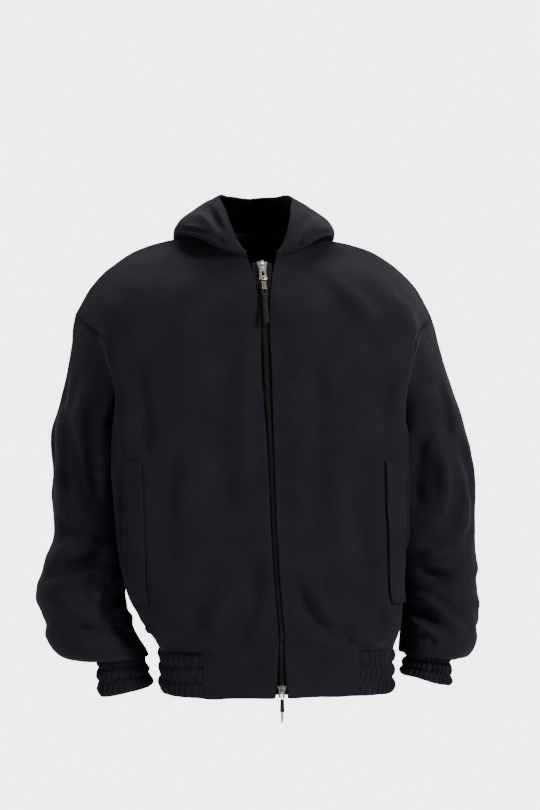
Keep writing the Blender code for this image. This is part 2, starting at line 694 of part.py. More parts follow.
def main():
    clear_scene()
    group = bpy.data.collections.new(COLLECTION)
    bpy.context.scene.collection.children.link(group)
    names = ("front_right", "front_left", "back", "sleeve_right", "sleeve_left", "cuff_right",
             "cuff_left", "hem_casing", "hood_right", "hood_left", "pocket_welt_right",
             "pocket_welt_left")
    cloth = {name: material(name, (0.012, 0.011, 0.013), 0.95) for name in names}
    finishes = {"tape": material("zip_tape", (0.010, 0.010, 0.011), 0.8),
                "metal": material("slider_nickel", (0.62, 0.58, 0.55), 0.3, 1.0),
                "pull": material("pull_black", (0.012, 0.012, 0.013), 0.45, 0.0)}

    rows, columns = steps(ROW_STEPS), steps(COLUMN_STEPS)
    hem_rows = ROW_STEPS[0]
    armpit = sum(ROW_STEPS[:ARMPIT_ROW])
    fronts = {side: body_grid(side, "front", rows, columns) for side in (-1, 1)}
    backs = {side: body_grid(side, "back", rows, columns) for side in (-1, 1)}
    back = np.concatenate([backs[-1][:, ::-1], backs[1][:, 1:]], axis=1)[hem_rows:]
    sleeves = {}
    for side in (-1, 1):
        front_edge = fronts[side][armpit:, -1][::-1]
        back_edge = backs[side][armpit:, -1]
        sleeves[side] = sleeve_grid(side, np.concatenate([front_edge, back_edge[1:]]))

    grids = [(fronts[-1], 1), (fronts[1], -1), (back, -1), (sleeves[-1], 1), (sleeves[1], -1)]
    for k, (points, outward) in enumerate(grids):
        trial = grid_normals([(points, 1)])[0]
        away = points - points.reshape(-1, 3).mean(axis=0)
        if k < 3:
            away = points * (1, 1, 0)
        grids[k] = (points, 1 if (trial * away).sum() > 0 else -1)
    families = (0, 0, 0, 1, 2)
    normals = grid_normals(grids, families)
    last = len(rows) - 1
    for k, (points, outward) in enumerate(grids):
        count = points.shape[0]
        if k < 2:
            free = [hem_rows + 1 < i < last - 4 for i in range(count)]
        elif k == 2:
            free = [1 < i < count - 4 for i in range(count)]
        else:
            free = [4 < i < count - 4 for i in range(count)]
        shares = [1.0] * points.shape[1]
        if k < 3:
            shares[-1] = 0.0
        if k < 2:
            shares[:4] = (0.0, 0.0, 0.35, 0.8)
        if k == 2:
            shares[0] = 0.0
        moved = add_creases(points, normals[k], free, shares)
        grids[k] = (moved, outward)
    normals = grid_normals(grids, families)
    for k in (3, 4):
        seam = normals[k][:, 0] + normals[k][:, -1]
        seam /= np.linalg.norm(seam, axis=1)[:, None]
        normals[k][:, 0] = seam
        normals[k][:, -1] = seam

    def front_cloth(i, j):
        return i >= hem_rows or j < PLAIN_COLUMNS

    for k, name in ((0, "front_right"), (1, "front_left")):
        cloth_piece(name, grids[k][0], normals[k], ("high", "right"), cloth[name], group,
                    keep=front_cloth)
    cloth_piece("back", grids[2][0], normals[2], ("high", "left", "right"), cloth["back"], group)
    for k, name in ((3, "sleeve_right"), (4, "sleeve_left")):
        cloth_piece(name, grids[k][0], normals[k], ("low",), cloth[name], group, closed=True)
    make_cuff("cuff_right", -1, cloth["cuff_right"], group)
    make_cuff("cuff_left", 1, cloth["cuff_left"], group)
    make_casing(cloth["hem_casing"], group)

    neck_columns = sum(COLUMN_STEPS[:2])
    for k, side, name in ((0, -1, "hood_right"), (1, 1, "hood_left")):
        front_neck = grids[k][0][-1, :neck_columns + 1]
        front_up = normals[k][-1, :neck_columns + 1]
        middle = sum(COLUMN_STEPS)
        reach = [middle + side * j for j in range(neck_columns, -1, -1)]
        neck = np.concatenate([front_neck, grids[2][0][-1, reach][1:]])
        up = np.concatenate([front_up, normals[2][-1, reach][1:]])
        dense = np.linspace(0, len(neck) - 1, 15)
        hood = hood_half(side, spline(neck, dense), spline(up, dense))
        hood_normals = grid_normals([(hood, 1)])[0]
        under = hood_normals[2, 7]
        if under[2] > 0:
            hood_normals = -hood_normals
        hood_normals[:, -1, 0] = 0.0
        hood_normals /= np.linalg.norm(hood_normals, axis=2)[..., None]
        cloth_piece(name, hood, hood_normals, ("right",), cloth[name], group)

    for k, side, name in ((0, -1, "pocket_welt_right"), (1, 1, "pocket_welt_left")):
        make_welt(name, side, grids[k][0][hem_rows:], normals[k][hem_rows:], cloth[name], group)
    make_zip(finishes, group)


main()
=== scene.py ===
"""Looks of a wool zip jacket with its hood laid back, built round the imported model."""

import json
import math

import bmesh
import bpy
import numpy as np
from mathutils import Matrix, Vector, noise
from mathutils.bvhtree import BVHTree


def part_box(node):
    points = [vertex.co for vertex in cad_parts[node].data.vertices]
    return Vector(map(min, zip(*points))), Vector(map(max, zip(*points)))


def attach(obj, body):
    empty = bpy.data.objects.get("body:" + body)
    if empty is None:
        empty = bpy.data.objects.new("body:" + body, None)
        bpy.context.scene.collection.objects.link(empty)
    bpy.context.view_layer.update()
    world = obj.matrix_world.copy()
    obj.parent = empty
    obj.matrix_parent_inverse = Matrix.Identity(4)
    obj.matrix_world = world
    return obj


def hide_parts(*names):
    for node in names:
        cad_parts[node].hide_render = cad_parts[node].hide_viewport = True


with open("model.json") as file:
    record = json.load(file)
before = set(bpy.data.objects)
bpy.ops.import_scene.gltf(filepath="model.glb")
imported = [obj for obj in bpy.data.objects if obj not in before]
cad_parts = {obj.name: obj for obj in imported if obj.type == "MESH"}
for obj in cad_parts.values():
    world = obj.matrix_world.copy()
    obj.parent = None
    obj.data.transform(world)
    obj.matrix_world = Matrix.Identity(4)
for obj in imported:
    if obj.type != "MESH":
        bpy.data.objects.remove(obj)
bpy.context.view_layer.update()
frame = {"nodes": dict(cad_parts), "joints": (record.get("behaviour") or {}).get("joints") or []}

MM = 0.001

# Blender's noise vectors start from the clock unless they are given a seed
noise.seed_set(7)

# Cloth pieces: node, levels of subdivision, face it shows, cut width and length, cut area, how it is held
CLOTH_PIECES = {
    "wool_front_right": ("front_right", 3, "front", 0.38, 0.82, 0.262, "hung"),
    "wool_front_left": ("front_left", 3, "front", 0.38, 0.82, 0.255, "hung"),
    "wool_back": ("back", 3, "back", 0.68, 0.74, 0.436, "hung"),
    "wool_sleeve_right": ("sleeve_right", 3, "sleeve_right", 0.56, 0.55, 0.243, "hung"),
    "wool_sleeve_left": ("sleeve_left", 3, "sleeve_left", 0.56, 0.55, 0.254, "hung"),
    "wool_hood_right": ("hood_right", 3, "back", 0.26, 0.36, 0.076, "folded"),
    "wool_hood_left": ("hood_left", 3, "back", 0.26, 0.36, 0.076, "folded"),
    "gathered_cuff_right": ("cuff_right", 3, "sleeve_right", 0.28, 0.085, 0.02, "gathered"),
    "gathered_cuff_left": ("cuff_left", 3, "sleeve_left", 0.26, 0.075, 0.0165, "gathered"),
    "gathered_hem": ("hem_casing", 2, "back", 0.95, 0.085, 0.074, "gathered"),
    "pocket_welt_strip_right": ("pocket_welt_right", 3, "front", 0.038, 0.24, 0.0078, "laid"),
    "pocket_welt_strip_left": ("pocket_welt_left", 3, "front", 0.038, 0.24, 0.0082, "laid"),
}
MERGE_DISTANCE = 0.02 * MM
QUAD_FACE_ANGLE = math.radians(35)
QUAD_SHAPE_ANGLE = math.radians(60)
RIM_ANGLE = math.radians(55)
RIM_CREASE = 0.85
RIM_WIDTH = 7 * MM
SEAM_TAKE_UP = 0.9 * MM

# Sleeve axes, from the shoulder to the cuff, that the weave is wound round
SLEEVE_AXES = {
    "sleeve_right": (Vector((-0.27, 0.03, -0.2)), Vector((-0.23, -0.01, -0.75))),
    "sleeve_left": (Vector((0.27, 0.03, -0.2)), Vector((0.3, -0.01, -0.75))),
}
BODY_AXIS_X = 0.012
BODY_AXIS_DEPTH = 0.05
WEAVE_RADIUS = 0.2
SLEEVE_RADIUS = 0.07

# Folds, placed one by one: side, width, height, then points across and up, all in millimetres
FOLDS = (
    # front, middle: the two troughs that run down to the plain middle of the hem
    ("front", 20, -10, ((0, -510), (-12, -571), (-32, -624), (-54, -665), (-70, -690))),
    ("front", 18, 6, ((-44, -535), (-66, -600), (-96, -648), (-122, -668))),
    ("front", 11, -6.5, ((42, -556), (62, -602), (92, -641), (126, -656))),
    ("front", 14, 4.5, ((62, -560), (92, -606), (132, -634), (160, -640))),
    ("front", 6, -3.5, ((38, -690), (50, -698), (62, -705))),
    ("front", 9, -3.2, ((132, -640), (136, -660), (139, -682))),
    ("front", 10, 4.5, ((150, -664), (182, -674), (216, -668))),
    ("front", 9, 4, ((-84, -676), (-118, -680), (-150, -672))),
    # front, long soft folds that hang from the chest
    ("front", 22, -4.5, ((172, -352), (166, -430), (164, -505), (174, -600))),
    ("front", 20, 3.5, ((136, -330), (128, -430), (130, -520), (140, -590))),
    ("front", 22, -4, ((-150, -330), (-162, -430), (-160, -540), (-146, -620))),
    ("front", 24, 3, ((-112, -300), (-118, -420), (-112, -540), (-104, -610))),
    ("front", 22, -3, ((-58, -150), (-66, -260), (-70, -390), (-64, -500))),
    ("front", 24, 2.5, ((-30, -180), (-34, -300), (-38, -420), (-36, -500))),
    ("front", 24, -2.8, ((78, -160), (84, -280), (88, -400), (84, -520))),
    ("front", 20, 2.5, ((52, -170), (58, -300), (60, -420), (56, -510))),
    ("front", 16, -3.5, ((-94, -560), (-104, -610), (-128, -650))),
    ("front", 14, -3.2, ((188, -600), (196, -640), (206, -668))),
    # front, the pocket mouths beside the welts
    ("front", 3.5, -4.5, ((-234, -372), (-236, -450), (-235, -530), (-232, -600))),
    ("front", 3.5, -4.5, ((245, -372), (246, -450), (247, -530), (243, -600))),
    # front, drag lines from the neck and the armholes
    ("front", 20, -3.2, ((-70, -62), (-120, -112), (-170, -176), (-212, -246))),
    ("front", 18, 2.6, ((-96, -52), (-150, -100), (-204, -160))),
    ("front", 20, -3.2, ((74, -58), (126, -108), (176, -172), (216, -240))),
    ("front", 18, 2.6, ((100, -52), (152, -98), (206, -158))),
    ("front", 15, -4, ((-222, -196), (-204, -262), (-196, -330), (-204, -398))),
    ("front", 15, -4, ((222, -196), (206, -262), (200, -330), (208, -400))),
    # hood: the turned lower edge, and the creases where it rolls over
    ("front", 4, -5, ((-136, 19), (-105, 14), (-74, 1), (-50, -13), (-36, -22))),
    ("front", 4, -5, ((132, 17), (106, 6), (82, -6), (59, -15), (42, -21))),
    ("front", 6, -4.5, ((-84, 60), (-70, 32), (-58, 2))),
    ("front", 8, 3, ((-106, 48), (-88, 28), (-74, 8))),
    ("front", 7, -3.5, ((88, 44), (71, 16), (54, -10))),
    ("front", 8, 3, ((110, 40), (92, 20), (76, 4))),
    # armhole seams
    ("front", 4, -4.2, ((-304, -131), (-279, -153), (-247, -175))),
    ("front", 4, -4.2, ((307, -130), (282, -150), (262, -170), (253, -204))),
    # right sleeve, seen on the left
    ("front_sleeve", 12, -6, ((-247, -256), (-268, -284), (-278, -318), (-276, -420), (-264, -459))),
    ("front_sleeve", 11, 4.5, ((-262, -232), (-290, -262), (-302, -310), (-300, -370))),
    ("front_sleeve", 14, -6, ((-252, -292), (-246, -340), (-250, -388))),
    ("front_sleeve", 12, -5.5, ((-308, -306), (-306, -370), (-297, -447))),
    ("front_sleeve", 12, 4, ((-328, -330), (-334, -400), (-326, -470))),
    ("front_sleeve", 11, -6.5, ((-343, -558), (-306, -548), (-270, -530), (-244, -512))),
    ("front_sleeve", 12, 5, ((-346, -524), (-306, -512), (-272, -494))),
    ("front_sleeve", 12, 6, ((-292, -607), (-262, -586), (-232, -562))),
    ("front_sleeve", 11, -5.5, ((-330, -600), (-296, -578), (-262, -556))),
    ("front_sleeve", 12, -7, ((-236, -584), (-220, -604), (-200, -628))),
    ("front_sleeve", 9, -5, ((-306, -646), (-282, -652), (-258, -655))),
    ("front_sleeve", 10, 5, ((-245, -612), (-214, -636), (-184, -656), (-174, -676))),
    ("front_sleeve", 9, -4.5, ((-250, -640), (-224, -658), (-198, -676))),
    ("front_sleeve", 10, 4.5, ((-338, -618), (-300, -628), (-264, -630))),
    ("front_sleeve", 9, -4.5, ((-340, -470), (-318, -488), (-290, -492))),
    # left sleeve, seen on the right
    ("front_sleeve", 15, -4.0, ((278, -340), (270, -390), (268, -430), (274, -468))),
    ("front_sleeve", 11, -3, ((298, -316), (284, -334), (274, -352), (268, -372))),
    ("front_sleeve", 12, 5.5, ((300, -330), (318, -400), (311, -462), (290, -486), (264, -488))),
    ("front_sleeve", 13, -3, ((350, -404), (342, -452), (326, -504))),
    ("front_sleeve", 12, 4.5, ((372, -430), (356, -480), (326, -520))),
    ("front_sleeve", 11, -6.5, ((268, -556), (288, -566), (310, -572), (336, -566))),
    ("front_sleeve", 11, 5, ((268, -532), (302, -528), (336, -520), (362, -500))),
    ("front_sleeve", 10, 6, ((252, -603), (283, -612), (314, -636), (340, -656), (356, -680))),
    ("front_sleeve", 10, -5, ((246, -616), (268, -624), (290, -636), (316, -662))),
    ("front_sleeve", 9, 5, ((246, -632), (272, -654), (300, -676))),
    ("front_sleeve", 8, -5, ((268, -660), (284, -670), (298, -688))),
    ("front_sleeve", 12, -4.5, ((310, -236), (322, -290), (326, -350))),
    ("front_sleeve", 12, -4, ((-318, -220), (-326, -270), (-330, -300))),
    # back: folds that hang from the shoulder blades, then sag over the gathered hem
    ("back", 24, -5, ((-112, -190), (-118, -320), (-122, -460), (-112, -580))),
    ("back", 22, 3.5, ((-74, -220), (-78, -340), (-80, -470), (-72, -570))),
    ("back", 22, -3.5, ((-22, -260), (-16, -380), (-18, -500), (-8, -600))),
    ("back", 24, -5, ((104, -200), (114, -330), (116, -470), (108, -590))),
    ("back", 22, 3.5, ((58, -240), (66, -370), (64, -500), (60, -590))),
    ("back", 16, -5, ((-186, -230), (-172, -330), (-176, -430))),
    ("back", 16, -5, ((188, -226), (174, -330), (178, -436))),
    ("back", 14, 6, ((-188, -628), (-110, -652), (-20, -658), (60, -656), (140, -648), (200, -630))),
    ("back", 13, -6, ((-196, -590), (-120, -612), (-60, -626))),
    ("back", 13, -5.5, ((40, -628), (110, -612), (190, -586))),
    ("back", 12, -5, ((-60, -596), (0, -612), (56, -600))),
    ("back", 12, 4.5, ((-150, -556), (-96, -580), (-40, -584))),
    ("back", 12, 4.5, ((44, -582), (104, -570), (164, -548))),
    ("back", 20, -3.5, ((-60, -96), (-130, -124), (-200, -176))),
    ("back", 20, -3.5, ((64, -96), (134, -124), (204, -176))),
    ("back_sleeve", 12, -5.5, ((-262, -280), (-292, -340), (-296, -420), (-276, -480))),
    ("back_sleeve", 12, 5, ((-316, -330), (-326, -420), (-314, -500))),
    ("back_sleeve", 12, -6, ((-332, -540), (-296, -566), (-250, -560))),
    ("back_sleeve", 12, 5, ((-330, -596), (-290, -612), (-244, -600))),
    ("back_sleeve", 10, -5.5, ((-322, -636), (-280, -648), (-230, -640))),
    ("back_sleeve", 12, -5.5, ((268, -290), (302, -350), (312, -430), (292, -500))),
    ("back_sleeve", 12, 5, ((330, -340), (350, -430), (340, -510))),
    ("back_sleeve", 12, -6, ((362, -540), (326, -572), (274, -566))),
    ("back_sleeve", 12, 5, ((364, -600), (320, -620), (270, -606))),
    ("back_sleeve", 10, -5.5, ((356, -644), (312, -656), (262, -648))),
    # outer sides of the sleeves, points are across the side and up
    ("right", 13, -5, ((-40, -300), (-20, -380), (-34, -460))),
    ("right", 13, 4.5, ((30, -280), (46, -380), (36, -470))),
    ("right", 13, -3, ((-60, -552), (-10, -570), (50, -556))),
    ("right", 13, 2.5, ((-50, -596), (0, -612), (60, -600))),
    ("right", 11, -2.5, ((-44, -640), (4, -652), (50, -642))),
    ("left", 13, -5, ((-36, -330), (-12, -410), (-26, -490))),
    ("left", 13, 4.5, ((36, -300), (54, -400), (44, -490))),
    ("left", 13, -2.2, ((-58, -562), (-8, -580), (52, -566))),
    ("left", 13, 2, ((-50, -606), (2, -622), (60, -610))),
    ("left", 11, -2.2, ((-42, -650), (6, -664), (52, -652))),
)
FOLD_STRENGTH = {
    "front": 1.3,
    "front_sleeve": 1.55,
    "back": 1.3,
    "back_sleeve": 1.6,
    "left": 1.3,
    "right": 1.3,
}
FOLD_STEP = 8 * MM
FOLD_REACH = 3.6
FOLD_DEPTH = 45 * MM
SKEW = 0.3

# Slow unevenness of worn, pressed cloth: size of a patch, then height
UNEVENNESS = ((105 * MM, 2.8 * MM), (40 * MM, 1.5 * MM), (14 * MM, 0.35 * MM))

# Cloth this near the zip stays flat, and beyond the second distance it moves freely
ZIP_STILL = 9 * MM
ZIP_FREE = 42 * MM

# For each side that folds are drawn on: the way it faces, and the point for a distance across and up
SIDES = {
    "front": (Vector((0, -1, 0)), lambda across, up: Vector((across, 0, up))),
    "back": (Vector((0, 1, 0)), lambda across, up: Vector((across, 0, up))),
    "front_sleeve": (Vector((0, -1, 0)), lambda across, up: Vector((across, 0, up))),
    "back_sleeve": (Vector((0, 1, 0)), lambda across, up: Vector((across, 0, up))),
    "left": (Vector((1, 0, 0)), lambda across, up: Vector((0, across, up))),
    "right": (Vector((-1, 0, 0)), lambda across, up: Vector((0, across, up))),
}


class Value:
    """A shader value that Python's own signs can work with."""

    def __init__(self, sheet, socket):
        self.sheet = sheet
        self.socket = socket

    def maths(self, operation, first, second):
        return self.sheet.node("ShaderNodeMath", {"operation": operation}, {0: first, 1: second})

    def __add__(self, other):
        return self.maths("ADD", self, other)

    def __radd__(self, other):
        return self.maths("ADD", other, self)

    def __mul__(self, other):
        return self.maths("MULTIPLY", self, other)


class Finish:
    """One material, and the only place where its nodes are made."""

    def __init__(self, name, **constants):
        self.material = bpy.data.materials.new(name)
        self.material.use_nodes = True
        self.tree = self.material.node_tree
        self.shader = self.tree.nodes["Principled BSDF"]
        for socket, value in constants.items():
            self.shader.inputs[socket.replace("_", " ")].default_value = value

    def node(self, kind, settings=None, values=None, output=0):
        made = self.tree.nodes.new(kind)
        for name, setting in (settings or {}).items():
            if name == "stops":
                ramp = made.color_ramp
                ramp.elements[0].position, ramp.elements[0].color = setting[0]
                ramp.elements[1].position, ramp.elements[1].color = setting[1]
                for position, colour in setting[2:]:
                    ramp.elements.new(position).color = colour
            else:
                setattr(made, name, setting)
        for name, value in (values or {}).items():
            if isinstance(value, Value):
                self.tree.links.new(value.socket, made.inputs[name])
            else:
                made.inputs[name].default_value = value
        return Value(self, made.outputs[output])

    def place(self, weave=False):
        return self.node("ShaderNodeTexCoord", output="UV" if weave else "Object")

    def speckle(self, place, size, detail=2.0, roughness=0.5):
        values = {"Vector": place, "Scale": 1 / size, "Detail": detail, "Roughness": roughness}
        return self.node("ShaderNodeTexNoise", {"noise_dimensions": "3D"}, values)

    def ramp(self, factor, *stops):
        return self.node("ShaderNodeValToRGB", {"stops": stops}, {"Fac": factor})

    def feed(self, **links):
        for socket, value in links.items():
            self.tree.links.new(value.socket, self.shader.inputs[socket.replace("_", " ")])

    def bump(self, height, distance, strength=1.0):
        values = {"Height": height, "Distance": distance, "Strength": strength}
        self.feed(Normal=self.node("ShaderNodeBump", None, values))


def grey(level, red=0.0, blue=0.0):
    """A grey with a little more red or blue in it."""
    return (level * (1 + red), level, level * (1 + blue), 1)


TWILL_ANGLE = math.radians(62)
WAVE_PERIOD = 0.314         # width of one rib when a wave texture's scale is one
TAPE_RIB = 1.1 * MM
SCUFF_DEPTH = 0.02 * MM
SCUFF_STRETCH = (6.0, 6.0, 0.7)


def wool_finish(name, level, twill_pitch, nap_height):
    """Brushed twill: diagonal ribs under a soft nap, with slow changes of tone."""
    wool = Finish(
        name,
        Sheen_Weight=0.026,
        Sheen_Roughness=0.4,
        Sheen_Tint=(0.6, 0.55, 0.74, 1),
        Specular_IOR_Level=0.05,
    )
    place = wool.place()
    weave = wool.place(weave=True)
    turned = wool.node("ShaderNodeMapping", None, {"Vector": weave, "Rotation": (0, 0, TWILL_ANGLE)})
    rib_values = {
        "Vector": turned,
        "Scale": WAVE_PERIOD / twill_pitch,
        "Distortion": 0.6,
        "Detail": 1.0,
        "Detail Scale": 3.0,
    }
    ribs = wool.node("ShaderNodeTexWave", {"wave_type": "BANDS", "wave_profile": "SIN"}, rib_values)
    fuzz = wool.speckle(place, 0.9 * MM, detail=3.0, roughness=0.65)
    fibres = wool.speckle(place, 3.2 * MM, detail=4.0, roughness=0.7)
    patches = wool.speckle(place, 55 * MM, detail=3.0)
    tone = patches * 0.45 + fibres * 0.35 + fuzz * 0.2
    dark = grey(level * 0.7, 0.12, 0.5)
    light = grey(level * 1.4, 0.12, 0.45)
    colour = wool.ramp(tone, (0.32, dark), (0.7, light))
    rough = 0.84 + fibres * 0.14
    wool.feed(Base_Color=colour, Roughness=rough)
    wool.bump(ribs * 0.35 + fuzz * 0.4 + fibres * 0.5, nap_height, 0.7)
    return wool.material


def tape_finish():
    """Woven zip tape: close cross ribs on a matt black ground."""
    tape = Finish("woven_tape_black", Specular_IOR_Level=0.08)
    place = tape.place()
    rib_values = {"Vector": place, "Scale": WAVE_PERIOD / TAPE_RIB, "Distortion": 0.3, "Detail": 1.0}
    ribs = tape.node("ShaderNodeTexWave", {"wave_type": "BANDS", "bands_direction": "Z"}, rib_values)
    yarn = tape.speckle(place, 0.8 * MM, detail=3.0)
    colour = tape.ramp(ribs * 0.6 + yarn * 0.4, (0.2, grey(0.0015)), (0.85, grey(0.004)))
    tape.feed(Base_Color=colour, Roughness=0.72 + yarn * 0.2)
    tape.bump(ribs * 0.7 + yarn * 0.3, 0.3 * MM, 0.8)
    return tape.material


def hard_finish(name, dark, light, metal, roughness, spread, wear_size, **constants):
    """A metal or a lacquer whose gloss and tone change a little over the surface."""
    hard = Finish(name, Metallic=metal, **constants)
    place = hard.place()
    wear = hard.speckle(place, wear_size, detail=5.0, roughness=0.6)
    stretched = hard.node("ShaderNodeMapping", None, {"Vector": place, "Scale": SCUFF_STRETCH})
    scuffs = hard.speckle(stretched, 4 * MM, detail=4.0, roughness=0.7)
    mixed = wear * 0.6 + scuffs * 0.4
    colour = hard.ramp(mixed, (0.3, dark), (0.72, light))
    hard.feed(Base_Color=colour, Roughness=roughness + mixed * spread)
    hard.bump(scuffs, SCUFF_DEPTH, 0.5)
    return hard.material


WOOL = wool_finish("black_wool_twill", 0.0055, 1.5 * MM, 0.5 * MM)
GATHERED_WOOL = wool_finish("black_wool_gathered", 0.0055, 1.3 * MM, 0.4 * MM)
TAPE = tape_finish()

# Hard finishes: dark tone, light tone, metal or not, roughness, its spread, size of the worn patches
THREAD = hard_finish(
    "black_thread", grey(0.004), grey(0.01), 0.0, 0.6, 0.2, 2 * MM, Specular_IOR_Level=0.1
)
TEETH = hard_finish(
    "satin_black_teeth", grey(0.0015), grey(0.005), 0.0, 0.42, 0.2, 6 * MM, Specular_IOR_Level=0.12
)
NICKEL = hard_finish("pale_nickel", (0.36, 0.32, 0.3, 1), (0.7, 0.64, 0.61, 1), 1.0, 0.14, 0.16, 5 * MM)
DARK_NICKEL = hard_finish("dark_nickel", (0.05, 0.048, 0.05, 1), (0.3, 0.28, 0.27, 1), 1.0, 0.2, 0.2, 3 * MM)
LACQUER = hard_finish(
    "black_lacquer", grey(0.0015), grey(0.005), 0.0, 0.34, 0.22, 7 * MM, Specular_IOR_Level=0.14
)
GILT_TIP = hard_finish("worn_brass", (0.42, 0.3, 0.16, 1), (0.68, 0.52, 0.3, 1), 1.0, 0.22, 0.2, 4 * MM)


def smooth_step(values, low, high):
    share = np.clip((values - low) / (high - low), 0, 1)
    return share * share * (3 - 2 * share)


def cad_shape(nodes):
    """The chosen nodes as one tree that rays can be cast against."""
    corners = []
    faces = []
    for node in nodes:
        start = len(corners)
        mesh = frame["nodes"][node].data
        corners += [v.co.copy() for v in mesh.vertices]
        faces += [[start + i for i in face.vertices] for face in mesh.polygons]
    return BVHTree.FromPolygons(corners, faces)


CLOTH_SHAPE = cad_shape([row[0] for row in CLOTH_PIECES.values()])


def zip_path():
    """Middle of the zip chain on its front side, from the top down."""
    levels = {}
    for corner in frame["nodes"]["zip_chain"].data.vertices:
        levels.setdefault(round(corner.co.z / (4 * MM)), []).append(corner.co)
    path = []
    for level in sorted(levels, reverse=True):
        group = levels[level]
        x = (min(c.x for c in group) + max(c.x for c in group)) / 2
        front = min(c.y for c in group)
        z = sum(c.z for c in group) / len(group)
        path.append(Vector((x, front, z)))
    return path


ZIP_PATH = zip_path()
ZIP_Z = np.array([p.z for p in reversed(ZIP_PATH)])
ZIP_X = np.array([p.x for p in reversed(ZIP_PATH)])
ZIP_Y = np.array([p.y for p in reversed(ZIP_PATH)])


CURVE_STEPS = 12


def curve_through(points, spacing):
    """Evenly spaced points on a smooth curve through the given ones."""
    dense = []
    for i in range(len(points) - 1):
        before = points[max(i - 1, 0)]
        start = points[i]
        end = points[i + 1]
        after = points[min(i + 2, len(points) - 1)]
        for k in range(CURVE_STEPS):
            t = k / CURVE_STEPS
            even = (start * 2) + (end - before) * t
            bend = (before * 2 - start * 5 + end * 4 - after) * t * t
            turn = (start * 3 - before - end * 3 + after) * t * t * t
            dense.append((even + bend + turn) * 0.5)
    dense.append(points[-1])
    spaced = [dense[0].copy()]
    walked = 0.0
    for a, b in zip(dense, dense[1:]):
        length = (b - a).length
        while length > 0 and walked + length >= spacing:
            a = a + (b - a) * ((spacing - walked) / length)
            spaced.append(a.copy())
            length = (b - a).length
            walked = 0.0
        walked += length
    return spaced


def laid_fold(row):
    """A listed fold, as points on the cloth with the way it faces and lies at each."""
    side, width, height, marks = row
    facing, point = SIDES[side]
    line = curve_through([point(a * MM, u * MM) for a, u in marks], FOLD_STEP)
    spots = []
    for place in line:
        hit, normal, _, _ = CLOTH_SHAPE.ray_cast(place + facing, -facing)
        if hit is not None:
            spots.append((hit, (normal + facing).normalized()))
    places = np.array([s[0] for s in spots])
    facings = np.array([s[1] for s in spots])
    return places, facings, width * MM, height * MM * FOLD_STRENGTH[side]


LAID_FOLDS = [laid_fold(row) for row in FOLDS]


def add_fold(points, moves, fold, number):
    places, facings, width, height = fold
    if len(places) < 2:
        return
    reach = FOLD_REACH * width
    near = ((points > places.min(0) - reach) & (points < places.max(0) + reach)).all(1)
    picked = np.nonzero(near)[0]
    if not len(picked):
        return
    spots = points[picked]
    best = np.full(len(picked), np.inf)
    across = np.zeros(len(picked))
    through = np.zeros(len(picked))
    share = np.zeros(len(picked))
    faced = np.zeros((len(picked), 3))
    count = len(places) - 1
    for i in range(count):
        start, along = places[i], places[i + 1] - places[i]
        t = np.clip(((spots - start) @ along) / max(along @ along, 1e-12), 0, 1)
        away = spots - (start + t[:, None] * along)
        distance = (away * away).sum(1)
        facing = (facings[i] + facings[i + 1]) / 2
        sideways = np.cross(along, facing)
        sideways /= max(np.linalg.norm(sideways), 1e-9)
        closer = distance < best
        best[closer] = distance[closer]
        across[closer] = (away @ sideways)[closer]
        through[closer] = (away @ facing)[closer]
        share[closer] = ((i + t) / count)[closer]
        faced[closer] = facing
    scaled = across / (width * np.where(across > 0, 1 + SKEW, 1 - SKEW))
    beyond = np.sqrt(np.maximum(best - across**2 - through**2, 0)) / width
    profile = np.exp(-(scaled**2)) - 0.25 * np.exp(-((np.abs(scaled) - 2) ** 2))
    ends = smooth_step(np.minimum(share, 1 - share), -0.02, 0.3)
    uneven = 1 + 0.25 * np.sin(8 * share + 1.7 * number)
    depth = np.exp(-((through / FOLD_DEPTH) ** 2))
    size = height * profile * ends * uneven * depth * np.exp(-(beyond**2))
    moves[picked] += faced * size[:, None]


def draped(points):
    """Where each point goes once the folds are laid in. It depends on the place alone, so seams stay shut."""
    moves = np.zeros_like(points)
    for number, fold in enumerate(LAID_FOLDS):
        add_fold(points, moves, fold, number)
    for size, height in UNEVENNESS:
        field = [noise.noise_vector(Vector(p) / size) for p in points.tolist()]
        moves += np.array(field) * height
    zip_x = np.interp(points[:, 2], ZIP_Z, ZIP_X)
    zip_y = np.interp(points[:, 2], ZIP_Z, ZIP_Y)
    off_zip = np.hypot(points[:, 0] - zip_x, np.maximum(points[:, 1] - zip_y - ZIP_STILL, 0))
    return points + moves * smooth_step(off_zip, ZIP_STILL, ZIP_FREE)[:, None]


